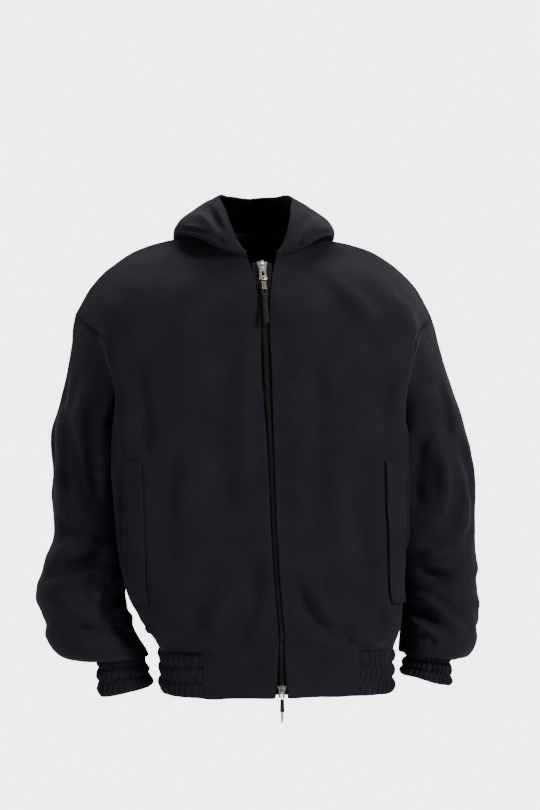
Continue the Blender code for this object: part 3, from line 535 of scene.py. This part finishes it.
def wind_weave(mesh, face):
    """Gives the cloth a flat map in metres, wound round the body or the sleeve."""
    points = np.zeros(len(mesh.vertices) * 3)
    mesh.vertices.foreach_get("co", points)
    points = points.reshape(-1, 3)
    if face in SLEEVE_AXES:
        start, end = (np.array(v) for v in SLEEVE_AXES[face])
        share = (points[:, 2] - start[2]) / (end[2] - start[2])
        middle = start + share[:, None] * (end - start)
        outward = 1 if face == "sleeve_left" else -1
        angle = np.arctan2(points[:, 1] - middle[:, 1], (points[:, 0] - middle[:, 0]) * outward)
        radius = SLEEVE_RADIUS
    else:
        depth = points[:, 1] if face == "back" else -points[:, 1]
        angle = np.arctan2(points[:, 0] - BODY_AXIS_X, depth + BODY_AXIS_DEPTH)
        radius = WEAVE_RADIUS
    loops = np.zeros(len(mesh.loops), dtype=np.int64)
    mesh.loops.foreach_get("vertex_index", loops)
    starts = np.zeros(len(mesh.polygons), dtype=np.int64)
    totals = np.zeros(len(mesh.polygons), dtype=np.int64)
    mesh.polygons.foreach_get("loop_start", starts)
    mesh.polygons.foreach_get("loop_total", totals)
    first = np.repeat(angle[loops[starts]], totals)
    turned = angle[loops]
    turned = turned - 2 * np.pi * np.round((turned - first) / (2 * np.pi))
    flat = np.stack([turned * radius, points[loops, 2]], axis=1)
    layer = mesh.uv_layers.new(name="weave")
    layer.data.foreach_set("uv", flat.ravel())


def move_all(mesh, change):
    points = np.zeros(len(mesh.vertices) * 3)
    mesh.vertices.foreach_get("co", points)
    points = change(points.reshape(-1, 3))
    mesh.vertices.foreach_set("co", points.ravel())
    mesh.update()


def add_piece(name, mesh, finishes, body, smooth=True):
    piece = bpy.data.objects.new(name, mesh)
    bpy.context.scene.collection.objects.link(piece)
    for finish in finishes:
        mesh.materials.append(finish)
    mesh.polygons.foreach_set("use_smooth", [smooth] * len(mesh.polygons))
    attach(piece, body)
    return piece


HOOD_END = Vector((0.024, -0.080, -0.033))
HOOD_FRONT_Y = -0.03
HOOD_OUT = Vector((1.0, -0.30, 0)).normalized()
HOOD_BACK = Vector((0.30, 1.0, 0)).normalized()
NECKLINE_SLOPE = 0.57
HOOD_TAPER = 40 * MM
HOOD_END_WIDTH = 0.12
HOOD_END_HEIGHT = 0.3


def taper_hood(cloth, side):
    """Brings the hood's roll down to a flat point where it meets the top of the zip."""
    for corner in cloth.verts:
        place = Vector((corner.co.x * side, corner.co.y, corner.co.z)) - HOOD_END
        along = place.dot(HOOD_BACK)
        if along > HOOD_TAPER or corner.co.y > HOOD_FRONT_Y:
            continue
        share = min(max(along / HOOD_TAPER, 0), 1)
        share = share * share * (3 - 2 * share)
        neckline = max(along, 0) * NECKLINE_SLOPE
        out = place.dot(HOOD_OUT) - neckline
        narrow = out * (HOOD_END_WIDTH + (1 - HOOD_END_WIDTH) * share)
        flat = HOOD_BACK * along + HOOD_OUT * (neckline + narrow)
        rise = place.z * (HOOD_END_HEIGHT + (1 - HOOD_END_HEIGHT) * share)
        corner.co = Vector(((HOOD_END.x + flat.x) * side, HOOD_END.y + flat.y, HOOD_END.z + rise))


def close_seams(cloth, crease):
    """Lets the cut edges out a little, so that pieces sewn together leave no slit."""
    moves = {}
    for face in cloth.faces:
        creased = [e for e in face.edges if e[crease] > 0]
        if len(creased) < 2 or min(e.calc_length() for e in face.edges) > RIM_WIDTH:
            continue
        for corner in face.verts:
            moves[corner] = moves.get(corner, Vector()) + face.normal
    for corner, outward in moves.items():
        if outward.length > 0:
            corner.co += outward.normalized() * SEAM_TAKE_UP


def finer_copy(node, levels, rim_crease):
    """A copy of a node's mesh, merged into fours and subdivided, with its rims kept."""
    cloth = bmesh.new()
    cloth.from_mesh(frame["nodes"][node].data)
    bmesh.ops.remove_doubles(cloth, verts=cloth.verts, dist=MERGE_DISTANCE)
    bmesh.ops.join_triangles(
        cloth,
        faces=cloth.faces,
        angle_face_threshold=QUAD_FACE_ANGLE,
        angle_shape_threshold=QUAD_SHAPE_ANGLE,
    )
    if node.startswith("hood"):
        taper_hood(cloth, 1 if node.endswith("left") else -1)
    crease = cloth.edges.layers.float.new("crease_edge")
    for edge in cloth.edges:
        if len(edge.link_faces) == 2 and edge.calc_face_angle() > RIM_ANGLE:
            edge[crease] = rim_crease
    close_seams(cloth, crease)
    rough = bpy.data.meshes.new(node + "_rough")
    cloth.to_mesh(rough)
    cloth.free()
    carrier = bpy.data.objects.new(node + "_rough", rough)
    bpy.context.scene.collection.objects.link(carrier)
    finer = carrier.modifiers.new("finer", "SUBSURF")
    finer.levels = levels
    finer.render_levels = levels
    mesh = bpy.data.meshes.new_from_object(carrier.evaluated_get(bpy.context.evaluated_depsgraph_get()))
    mesh.materials.clear()
    bpy.data.objects.remove(carrier)
    bpy.data.meshes.remove(rough)
    return mesh


GATHER_PITCH = 9.5 * MM
GATHER_ROWS = 3
ROW_PUFF = 2.2 * MM
CHANNEL_DEPTH = 2.0 * MM
CHANNEL_WIDTH = 0.05
GATHER_HEIGHT = 3.0 * MM
GATHER_SPREAD = 0.8
BAND_BINS = 60


def gather_band(mesh, node):
    """Puffs a band into three rows between its stitched channels, with uneven gathers in each."""
    low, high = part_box(node)
    middle = (low + high) / 2
    half = (high - low) / 2
    cad = np.array([v.co[:] for v in frame["nodes"][node].data.vertices])
    corner_angle = np.arctan2((cad[:, 1] - middle.y) / half.y, (cad[:, 0] - middle.x) / half.x)
    bins = np.linspace(-np.pi, np.pi, BAND_BINS + 1)
    centres = (bins[1:] + bins[:-1]) / 2
    found, tops, feet = [], [], []
    for i, centre in enumerate(centres):
        inside = (corner_angle >= bins[i]) & (corner_angle < bins[i + 1])
        if inside.sum() > 5:
            found.append(centre)
            tops.append(cad[inside, 2].max())
            feet.append(cad[inside, 2].min())
    points = np.zeros(len(mesh.vertices) * 3)
    mesh.vertices.foreach_get("co", points)
    points = points.reshape(-1, 3)
    normals = np.zeros(len(mesh.vertices) * 3)
    mesh.vertices.foreach_get("normal", normals)
    normals = normals.reshape(-1, 3)
    flat = points[:, :2] - np.array(middle[:2])
    angle = np.arctan2(flat[:, 1] / half.y, flat[:, 0] / half.x)
    top = np.interp(angle, found, tops, period=2 * np.pi)
    foot = np.interp(angle, found, feet, period=2 * np.pi)
    share = np.clip((points[:, 2] - foot) / (top - foot), 0, 1)
    outward = flat / np.array([half.x, half.y]) ** 2
    outward /= np.maximum(np.linalg.norm(outward, axis=1), 1e-9)[:, None]
    outer = smooth_step((normals[:, :2] * outward).sum(1), 0.0, 0.5)
    row = np.minimum((share * GATHER_ROWS).astype(int), GATHER_ROWS - 1)
    within = share * GATHER_ROWS - row
    puff = np.sin(np.pi * within) ** 0.7
    channel = np.zeros(len(points))
    for k in range(1, GATHER_ROWS):
        channel += np.exp(-(((share - k / GATHER_ROWS) / CHANNEL_WIDTH) ** 2))
    around = angle * (half.x + half.y) / 2
    wander = np.array([noise.noise(Vector((a / (14 * MM), 3.7 * r, 0))) for a, r in zip(around, row)])
    phase = 2 * np.pi * around / GATHER_PITCH + GATHER_SPREAD * np.pi * wander + 2.1 * row
    ridges = (0.5 + 0.5 * np.cos(phase)) ** 1.5 - 0.4
    uneven = 0.7 + 0.6 * np.abs(np.sin(around / (23 * MM) + row))
    height = ROW_PUFF * (puff - 0.5) - CHANNEL_DEPTH * channel
    height += GATHER_HEIGHT * ridges * uneven * (0.35 + 0.65 * puff)
    points[:, :2] += outward * (height * outer)[:, None]
    mesh.vertices.foreach_set("co", points.ravel())
    mesh.update()


def make_cloth():
    for name, (node, levels, face, width, length, area, held) in CLOTH_PIECES.items():
        mesh = finer_copy(node, levels, RIM_CREASE)
        mesh.name = name
        wind_weave(mesh, face)
        gathered = held == "gathered"
        if gathered:
            gather_band(mesh, node)
        move_all(mesh, draped)
        piece = add_piece(name, mesh, [GATHERED_WOOL if gathered else WOOL], "jacket")
        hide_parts(node)


def make_tapes():
    for side in ("right", "left"):
        mesh = finer_copy("zip_tape_" + side, 2, 0.9)
        piece = add_piece("woven_tape_" + side, mesh, [TAPE], "jacket")
        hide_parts("zip_tape_" + side)


def axes_at(point, down, out):
    """A turned frame at a point: x across, y out of the cloth, z up the zip."""
    up = -down.normalized()
    across = up.cross(out).normalized()
    out = across.cross(up).normalized()
    turn = Matrix((across, out, up)).transposed().to_4x4()
    return Matrix.Translation(point) @ turn


TOOTH_PITCH = 2.1 * MM
TOOTH_SIZE = (3.7 * MM, 1.9 * MM, 1.25 * MM)
TOOTH_SHIFT = 1.5 * MM
TOOTH_POINT = 0.16


def make_teeth():
    """Closed chain: small moulded teeth that mesh from both tapes in turn."""
    row = curve_through(ZIP_PATH, TOOTH_PITCH / 2)
    chain = bmesh.new()
    for i in range(1, len(row) - 1):
        down = row[i + 1] - row[i - 1]
        side = 1 if i % 2 else -1
        place = axes_at(row[i], down, Vector((0, -1, 0)))
        shape = Matrix.Translation((side * TOOTH_SHIFT, -TOOTH_SIZE[1] * 0.3, 0))
        shape = shape @ Matrix.Diagonal((*TOOTH_SIZE, 1))
        made = bmesh.ops.create_cube(chain, size=1, matrix=place @ shape)
        for corner in made["verts"]:
            if corner.co.y < row[i].y:
                corner.co += (row[i] + Vector((side * TOOTH_SHIFT, 0, 0)) - corner.co) * TOOTH_POINT
    mesh = bpy.data.meshes.new("zip_teeth")
    chain.to_mesh(mesh)
    chain.free()
    piece = add_piece("zip_teeth", mesh, [TEETH], "jacket", smooth=False)
    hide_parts("zip_chain")


def plate(outline, thickness, bevel):
    """A flat plate with soft edges, cut to an outline given across and up, centred on y = 0."""
    shape = bmesh.new()
    corners = [shape.verts.new((x * MM, -thickness / 2, z * MM)) for x, z in outline]
    face = shape.faces.new(corners)
    grown = bmesh.ops.extrude_face_region(shape, geom=[face])
    moved = [g for g in grown["geom"] if isinstance(g, bmesh.types.BMVert)]
    bmesh.ops.translate(shape, verts=moved, vec=(0, thickness, 0))
    bmesh.ops.recalc_face_normals(shape, faces=shape.faces)
    sharp = [e for e in shape.edges if e.calc_face_angle(0) > math.radians(40)]
    bmesh.ops.bevel(
        shape,
        geom=sharp,
        offset=bevel,
        affect="EDGES",
        segments=3,
        profile=0.5,
        material=-1,
    )
    return shape


def ring_shape(radius, wire, squash):
    """A closed wire ring round the y axis."""
    shape = bmesh.new()
    bmesh.ops.create_circle(shape, segments=10, radius=wire, cap_ends=False)
    for axis in "XZ":
        quarter = Matrix.Rotation(math.pi / 2, 3, axis)
        bmesh.ops.rotate(shape, verts=shape.verts, cent=(0, 0, 0), matrix=quarter)
    bmesh.ops.translate(shape, verts=shape.verts, vec=(0, 0, radius))
    bmesh.ops.spin(
        shape,
        geom=shape.edges[:],
        cent=(0, 0, 0),
        axis=(0, 1, 0),
        angle=2 * math.pi,
        steps=RING_STEPS,
        use_merge=True,
    )
    bmesh.ops.remove_doubles(shape, verts=shape.verts, dist=MERGE_DISTANCE)
    bmesh.ops.scale(shape, verts=shape.verts, vec=(1, 1, squash))
    bmesh.ops.recalc_face_normals(shape, faces=shape.faces)
    return shape


def joined(parts, name):
    """One mesh from several shapes, each with its place and its number in the piece's finishes."""
    whole = bmesh.new()
    for shape, place, finish in parts:
        bmesh.ops.transform(shape, matrix=place, verts=shape.verts)
        for face in shape.faces:
            face.material_index = finish
        part = bpy.data.meshes.new(name + "_part")
        shape.to_mesh(part)
        shape.free()
        whole.from_mesh(part)
        bpy.data.meshes.remove(part)
    mesh = bpy.data.meshes.new(name)
    whole.to_mesh(mesh)
    whole.free()
    return mesh


HALF_SLIDER = (
    (0, 2.2),
    (2.6, 2.0),
    (3.1, -0.6),
    (4.6, -1.2),
    (6.4, 0.4),
    (8.6, 0.2),
    (8.3, -2.0),
    (6.6, -8.0),
    (5.6, -14.0),
    (5.7, -24.0),
    (6.3, -30.6),
    (5.4, -31.8),
    (3.0, -31.8),
    (2.3, -30.0),
    (2.1, -19.0),
    (1.2, -16.8),
)
SLIDER_OUTLINE = HALF_SLIDER + ((0, -16.4),) + tuple((-x, z) for x, z in reversed(HALF_SLIDER[1:]))
LOW_SLIDER_OUTLINE = tuple((x * 0.85, z * 0.6 - 0.5) for x, z in SLIDER_OUTLINE)


BRIDGE = ((-1.9, 0), (1.9, 0), (2.1, -6), (1.7, -13), (-1.7, -13), (-2.1, -6))
BRIDGE_LENGTH = 13 * MM
BRIDGE_RISE = 2.6 * MM
POST = ((-1.8, 0), (1.8, 0), (1.2, -6), (-1.2, -6))
CROWN_RISE = 0.9 * MM
CROWN_HALF_WIDTH = 9 * MM
SLIDER_HEAD = 1.2 * MM
LEVEL_REACH = 5 * MM

# How far out each part of a slider lies from the front of its solid
FRONT_PLATE_OUT = -1.8 * MM
REAR_PLATE_OUT = -5.3 * MM
BRIDGE_OUT = -0.8 * MM
POST_OUT = -4.1 * MM


def front_at(node, level):
    """How far forward a node reaches at one height."""
    corners = frame["nodes"][node].data.vertices
    return min(c.co.y for c in corners if abs(c.co.z - level) < LEVEL_REACH)


def slider_mesh(node, outline, name):
    """Two crowned plates with the chain between them, and the bridge that the pull hangs from."""
    low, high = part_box(node)
    middle = (low.x + high.x) / 2
    top = Vector((middle, front_at(node, high.z), high.z - SLIDER_HEAD))
    foot = Vector((middle, front_at(node, low.z), low.z))
    place = axes_at(top, foot - top, Vector((0, -1, 0)))
    length = -min(z for _, z in outline) * MM
    front = plate(outline, 1.5 * MM, 0.45 * MM)
    for corner in front.verts:
        corner.co.y += CROWN_RISE * (1 - (corner.co.x / CROWN_HALF_WIDTH) ** 2)
    rear = plate(outline, 1.2 * MM, 0.3 * MM)
    bridge = plate(BRIDGE, 1.5 * MM, 0.4 * MM)
    for corner in bridge.verts:
        share = min(max(-corner.co.z / BRIDGE_LENGTH, 0), 1)
        corner.co.y += BRIDGE_RISE * math.sin(math.pi * share)
    post = plate(POST, 4.2 * MM, 0.3 * MM)
    parts = [
        (front, place @ Matrix.Translation((0, FRONT_PLATE_OUT, 0)), 0),
        (rear, place @ Matrix.Translation((0, REAR_PLATE_OUT, 0)), 0),
        (bridge, place @ Matrix.Translation((0, BRIDGE_OUT, -length * 0.06)), 0),
        (post, place @ Matrix.Translation((0, POST_OUT, -1.0 * MM)), 0),
    ]
    return joined(parts, name)


TAB_THICKNESS = 1.7 * MM
LOOP_STEPS = 28
RING_STEPS = 24


def rounded_loop(shape, across, up, centre_z, y, squareness):
    """A closed loop of corners, between an ellipse and a rectangle."""
    corners = []
    for i in range(LOOP_STEPS):
        angle = 2 * math.pi * i / LOOP_STEPS
        x = math.copysign(abs(math.cos(angle)) ** squareness, math.cos(angle)) * across
        z = math.copysign(abs(math.sin(angle)) ** squareness, math.sin(angle)) * up + centre_z
        corners.append(shape.verts.new((x, y, z)))
    return [shape.edges.new((corners[i], corners[(i + 1) % LOOP_STEPS])) for i in range(LOOP_STEPS)]


def holed_plate(across, up, hole_across, hole_up, thickness):
    """A rounded plate with a slot through its upper half, centred on its own middle."""
    shape = bmesh.new()
    outer = rounded_loop(shape, across, up, 0, -thickness / 2, 0.45)
    inner = rounded_loop(shape, hole_across, hole_up, up * 0.25, -thickness / 2, 0.8)
    bmesh.ops.bridge_loops(shape, edges=outer + inner)
    grown = bmesh.ops.extrude_face_region(shape, geom=shape.faces[:])
    moved = [g for g in grown["geom"] if isinstance(g, bmesh.types.BMVert)]
    bmesh.ops.translate(shape, verts=moved, vec=(0, thickness, 0))
    bmesh.ops.recalc_face_normals(shape, faces=shape.faces)
    sharp = [e for e in shape.edges if e.calc_face_angle(0) > math.radians(60)]
    bmesh.ops.bevel(
        shape,
        geom=sharp,
        offset=0.35 * MM,
        affect="EDGES",
        segments=2,
        profile=0.5,
        material=-1,
    )
    return shape


def bar(width, height, depth):
    """A small bar with soft edges."""
    half = width / 2
    return plate(((-half, 0), (half, 0), (half, -height), (-half, -height)), depth * MM, 0.3 * MM)


def blade_outline(length, half):
    return (
        (-half * 0.82, 0),
        (half * 0.82, 0),
        (half * 0.9, -length * 0.5),
        (half, -length * 0.92),
        (half * 0.7, -length),
        (-half * 0.7, -length),
        (-half, -length * 0.92),
        (-half * 0.9, -length * 0.5),
    )


def laid_along(place, drop, lift=0.0):
    return place @ Matrix.Translation((0, lift * MM, -drop * MM))


def pull_place(node, pivot):
    """Where a pull hangs: its frame at the pivot, and its length and width in millimetres."""
    low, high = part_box(node)
    depth = low.y if abs(low.y - pivot.y) > abs(high.y - pivot.y) else high.y
    down = Vector((pivot.x, depth, low.z)) - pivot
    return axes_at(pivot, down, Vector((0, -1, 0))), down.length / MM, (high.x - low.x) / MM


def top_pull_mesh(pivot, name):
    """Hinge of one nickel and two brass strips, a slotted head, three grip ribs and a long blade."""
    place, length, width = pull_place("pull_top", pivot)
    half = width / 2
    link = ring_shape(2.6 * MM, 0.7 * MM, squash=1.2)
    parts = [(link, laid_along(place, 1.5, 0.6), 0)]
    hinge_top = length * 0.09
    hinge_length = length * 0.17
    for x, wide, finish in ((0, 2.0, 0), (-half * 0.62, 1.3, 2), (half * 0.62, 1.3, 2)):
        strip = bar(wide, hinge_length, 2.2 if finish == 0 else 1.7)
        at = laid_along(place, hinge_top, 0.6) @ Matrix.Translation((x * MM, 0, 0))
        parts.append((strip, at, finish))
    head_top = hinge_top + hinge_length - 1.0
    head_half = length * 0.1
    head = holed_plate(half * MM, head_half * MM, half * 0.42 * MM, head_half * 0.42 * MM, TAB_THICKNESS)
    parts.append((head, laid_along(place, head_top + head_half, 0.5), 1))
    rib_top = head_top + 2 * head_half - 0.6
    blade = plate(blade_outline(length - rib_top, half), TAB_THICKNESS * 0.9, 0.4 * MM)
    parts.append((blade, laid_along(place, rib_top, 0.5), 1))
    for step in range(3):
        grip = bar(width * 0.72, 1.5, 2.6)
        parts.append((grip, laid_along(place, rib_top + 1.4 + 3.0 * step, 0.6), 1))
    return joined(parts, name)


def bottom_pull_mesh(pivot, name):
    """A black barrel under the slider, two bright side lugs, and a brass tip."""
    place, length, width = pull_place("pull_bottom", pivot)
    link = ring_shape(2.0 * MM, 0.6 * MM, squash=1.3)
    parts = [(link, laid_along(place, 1.0, 0.4), 0)]
    barrel_length = length * 0.5
    barrel = plate(blade_outline(barrel_length, width * 0.42), 2.6 * MM, 0.8 * MM)
    parts.append((barrel, laid_along(place, 3.0, 0.3), 1))
    for side in (-1, 1):
        lug = bar(1.3, 3.4, 1.8)
        lean = Matrix.Rotation(side * math.radians(22), 4, "Y")
        aside = Matrix.Translation((side * width * 0.42 * MM, 0, 0))
        parts.append((lug, laid_along(place, 1.0 + barrel_length, 0.4) @ aside @ lean, 0))
    tip_length = length - barrel_length - 3.0
    tip = plate(blade_outline(tip_length, width * 0.25), 2.0 * MM, 0.6 * MM)
    parts.append((tip, laid_along(place, barrel_length + 3.0, 0.3), 2))
    return joined(parts, name)


def make_zip_hardware():
    joints = {j["name"]: j for j in frame["joints"]}
    for end, outline, make_pull in (
        ("top", SLIDER_OUTLINE, top_pull_mesh),
        ("bottom", LOW_SLIDER_OUTLINE, bottom_pull_mesh),
    ):
        name = "nickel_slider_" + end
        finish = NICKEL if end == "top" else DARK_NICKEL
        mesh = slider_mesh("slider_" + end, outline, name)
        slider = add_piece(name, mesh, [finish], "jacket")
        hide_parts("slider_" + end)
        joint = joints[end + "_pull_swing"]
        pivot = Vector(joint.get("pos_m") or joint["pos"])
        name = "pull_tab_" + end
        finishes = [NICKEL, LACQUER, GILT_TIP]
        pull = add_piece(name, make_pull(pivot, name), finishes, end + "_pull")
        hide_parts("pull_" + end)


STITCH_PITCH = 3.6 * MM
STITCH_LENGTH = 2.5 * MM
STITCH_RADIUS = 0.25 * MM
ZIP_STITCHING = 12.5 * MM
TACK_LEVELS = (3 * MM, 6 * MM)
TACK_HALF_WIDTH = 9 * MM
WELT_INSET = 2.2 * MM
WELT_ROW_END = 8 * MM


def stitch_row(bm, line):
    """Short rounded stitches, end to end along a line of (place, facing)."""
    for (start, facing), (end, _) in zip(line, line[1:]):
        along = end - start
        if not 0.2 * STITCH_PITCH < along.length < 2.5 * STITCH_PITCH:
            continue
        place = axes_at((start + end) / 2 + facing * STITCH_RADIUS * 0.6, along, facing)
        shape = Matrix.Diagonal((STITCH_RADIUS, STITCH_RADIUS, STITCH_LENGTH / 2, 1))
        bmesh.ops.create_icosphere(bm, subdivisions=1, radius=1, matrix=place @ shape)


def on_cloth(marks, facing, spacing):
    """Evenly spaced places on the draped cloth under a line drawn across it."""
    line = []
    for place in curve_through(marks, spacing):
        hit, normal, _, _ = DRAPED_SHAPE.ray_cast(place + facing, -facing)
        if hit is not None:
            line.append((hit, normal if normal.dot(facing) > 0 else -normal))
    return line


def draped_shape():
    corners = []
    faces = []
    for name in ("wool_front_right", "wool_front_left", "pocket_welt_strip_right", "pocket_welt_strip_left"):
        mesh = bpy.data.objects[name].data
        start = len(corners)
        corners += [v.co.copy() for v in mesh.vertices]
        faces += [[start + i for i in face.vertices] for face in mesh.polygons]
    return BVHTree.FromPolygons(corners, faces)


def make_stitches():
    """Top stitching beside the zip, and bar tacks at both ends of each pocket welt."""
    front = Vector((0, -1, 0))
    thread = bmesh.new()
    for side in (-1, 1):
        marks = [Vector((p.x + side * ZIP_STITCHING, 0, p.z)) for p in ZIP_PATH]
        stitch_row(thread, on_cloth(marks, front, STITCH_PITCH))
    for node in ("pocket_welt_right", "pocket_welt_left"):
        low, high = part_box(node)
        middle = (low.x + high.x) / 2
        for level in [low.z + rise for rise in TACK_LEVELS] + [high.z - rise for rise in TACK_LEVELS]:
            marks = [Vector((middle + s * TACK_HALF_WIDTH, 0, level)) for s in (-1, 0, 1)]
            stitch_row(thread, on_cloth(marks, front, STITCH_PITCH * 0.6))
        x = high.x - WELT_INSET if node.endswith("right") else low.x + WELT_INSET
        levels = (low.z + WELT_ROW_END, (low.z + high.z) / 2, high.z - WELT_ROW_END)
        stitch_row(thread, on_cloth([Vector((x, 0, level)) for level in levels], front, STITCH_PITCH))
    mesh = bpy.data.meshes.new("top_stitching")
    thread.to_mesh(mesh)
    thread.free()
    add_piece("top_stitching", mesh, [THREAD], "jacket")


make_cloth()
DRAPED_SHAPE = draped_shape()
make_tapes()
make_teeth()
make_zip_hardware()
make_stitches()


FLOOR_LEVEL = -1.5
FLOOR_RADIUS = 3.0


def make_stage():
    """A round pale floor, as far below the shoulders as a standing wearer's feet."""
    pale = Finish("pale_studio_floor", Roughness=0.9, Specular_IOR_Level=0.1)
    grain = pale.speckle(pale.place(), 40 * MM, detail=3.0)
    pale.feed(Base_Color=pale.ramp(grain, (0.3, (0.86, 0.85, 0.89, 1)), (0.7, (0.9, 0.89, 0.93, 1))))
    disc = bmesh.new()
    centre = Matrix.Translation((0, 0, FLOOR_LEVEL))
    bmesh.ops.create_circle(disc, segments=96, radius=FLOOR_RADIUS, cap_ends=True, matrix=centre)
    mesh = bpy.data.meshes.new("studio_floor")
    disc.to_mesh(mesh)
    disc.free()
    floor = bpy.data.objects.new("studio_floor", mesh)
    bpy.context.scene.collection.objects.link(floor)
    mesh.materials.append(pale.material)


def add_light(name, place, aim, size, power):
    lamp = bpy.data.lights.new(name, "AREA")
    lamp.shape = "RECTANGLE"
    lamp.size, lamp.size_y = size
    lamp.energy = power
    holder = bpy.data.objects.new(name, lamp)
    bpy.context.scene.collection.objects.link(holder)
    holder.location = place
    holder.rotation_euler = (Vector(aim) - Vector(place)).to_track_quat("-Z", "Y").to_euler()


CAMERA_AZIMUTH = math.radians(-7)
CAMERA_DISTANCE = 4.2
CAMERA_AIM = Vector((0.0236, -0.0029, -0.2805))
FRAME_HEIGHT = 1.377
SENSOR = 36


def make_camera():
    camera_data = bpy.data.cameras.new("camera")
    camera_data.sensor_fit = "AUTO"
    camera_data.sensor_width = SENSOR
    camera_data.lens = SENSOR * CAMERA_DISTANCE / FRAME_HEIGHT
    camera_data.clip_end = 100
    camera = bpy.data.objects.new("camera", camera_data)
    bpy.context.scene.collection.objects.link(camera)
    back = Vector((math.sin(CAMERA_AZIMUTH), -math.cos(CAMERA_AZIMUTH), 0))
    camera.location = CAMERA_AIM + back * CAMERA_DISTANCE
    camera.rotation_euler = (math.pi / 2, 0, CAMERA_AZIMUTH)
    bpy.context.scene.camera = camera


AIR_LIGHT = 0.4
AIR_SEEN = 5.0


def make_air():
    """Pale air all round: soft light on the jacket, and brighter where the camera looks straight at it."""
    world = bpy.data.worlds.new("studio_air")
    world.use_nodes = True
    nodes = world.node_tree.nodes
    air = nodes["Background"].inputs
    air["Color"].default_value = (0.93, 0.915, 0.96, 1)
    seen = nodes.new("ShaderNodeLightPath")
    brightness = nodes.new("ShaderNodeMapRange")
    brightness.inputs["To Min"].default_value = AIR_LIGHT
    brightness.inputs["To Max"].default_value = AIR_SEEN
    world.node_tree.links.new(seen.outputs["Is Camera Ray"], brightness.inputs["Value"])
    world.node_tree.links.new(brightness.outputs["Result"], air["Strength"])
    bpy.context.scene.world = world


make_stage()
make_camera()
add_light("key", (2.3, -2.3, 1.2), (0, 0, -0.4), (0.9, 1.2), 250)
add_light("fill", (-2.7, -1.7, 0.5), (0, 0, -0.4), (1.0, 1.6), 75)
add_light("top", (0.2, 0.9, 2.2), (0, 0, -0.2), (2.4, 1.6), 150)
add_light("back_left", (-2.4, 2.4, 0.8), (0, 0, -0.3), (1.4, 2.0), 45)
add_light("back_right", (2.4, 2.4, 0.8), (0, 0, -0.3), (1.4, 2.0), 45)
make_air()
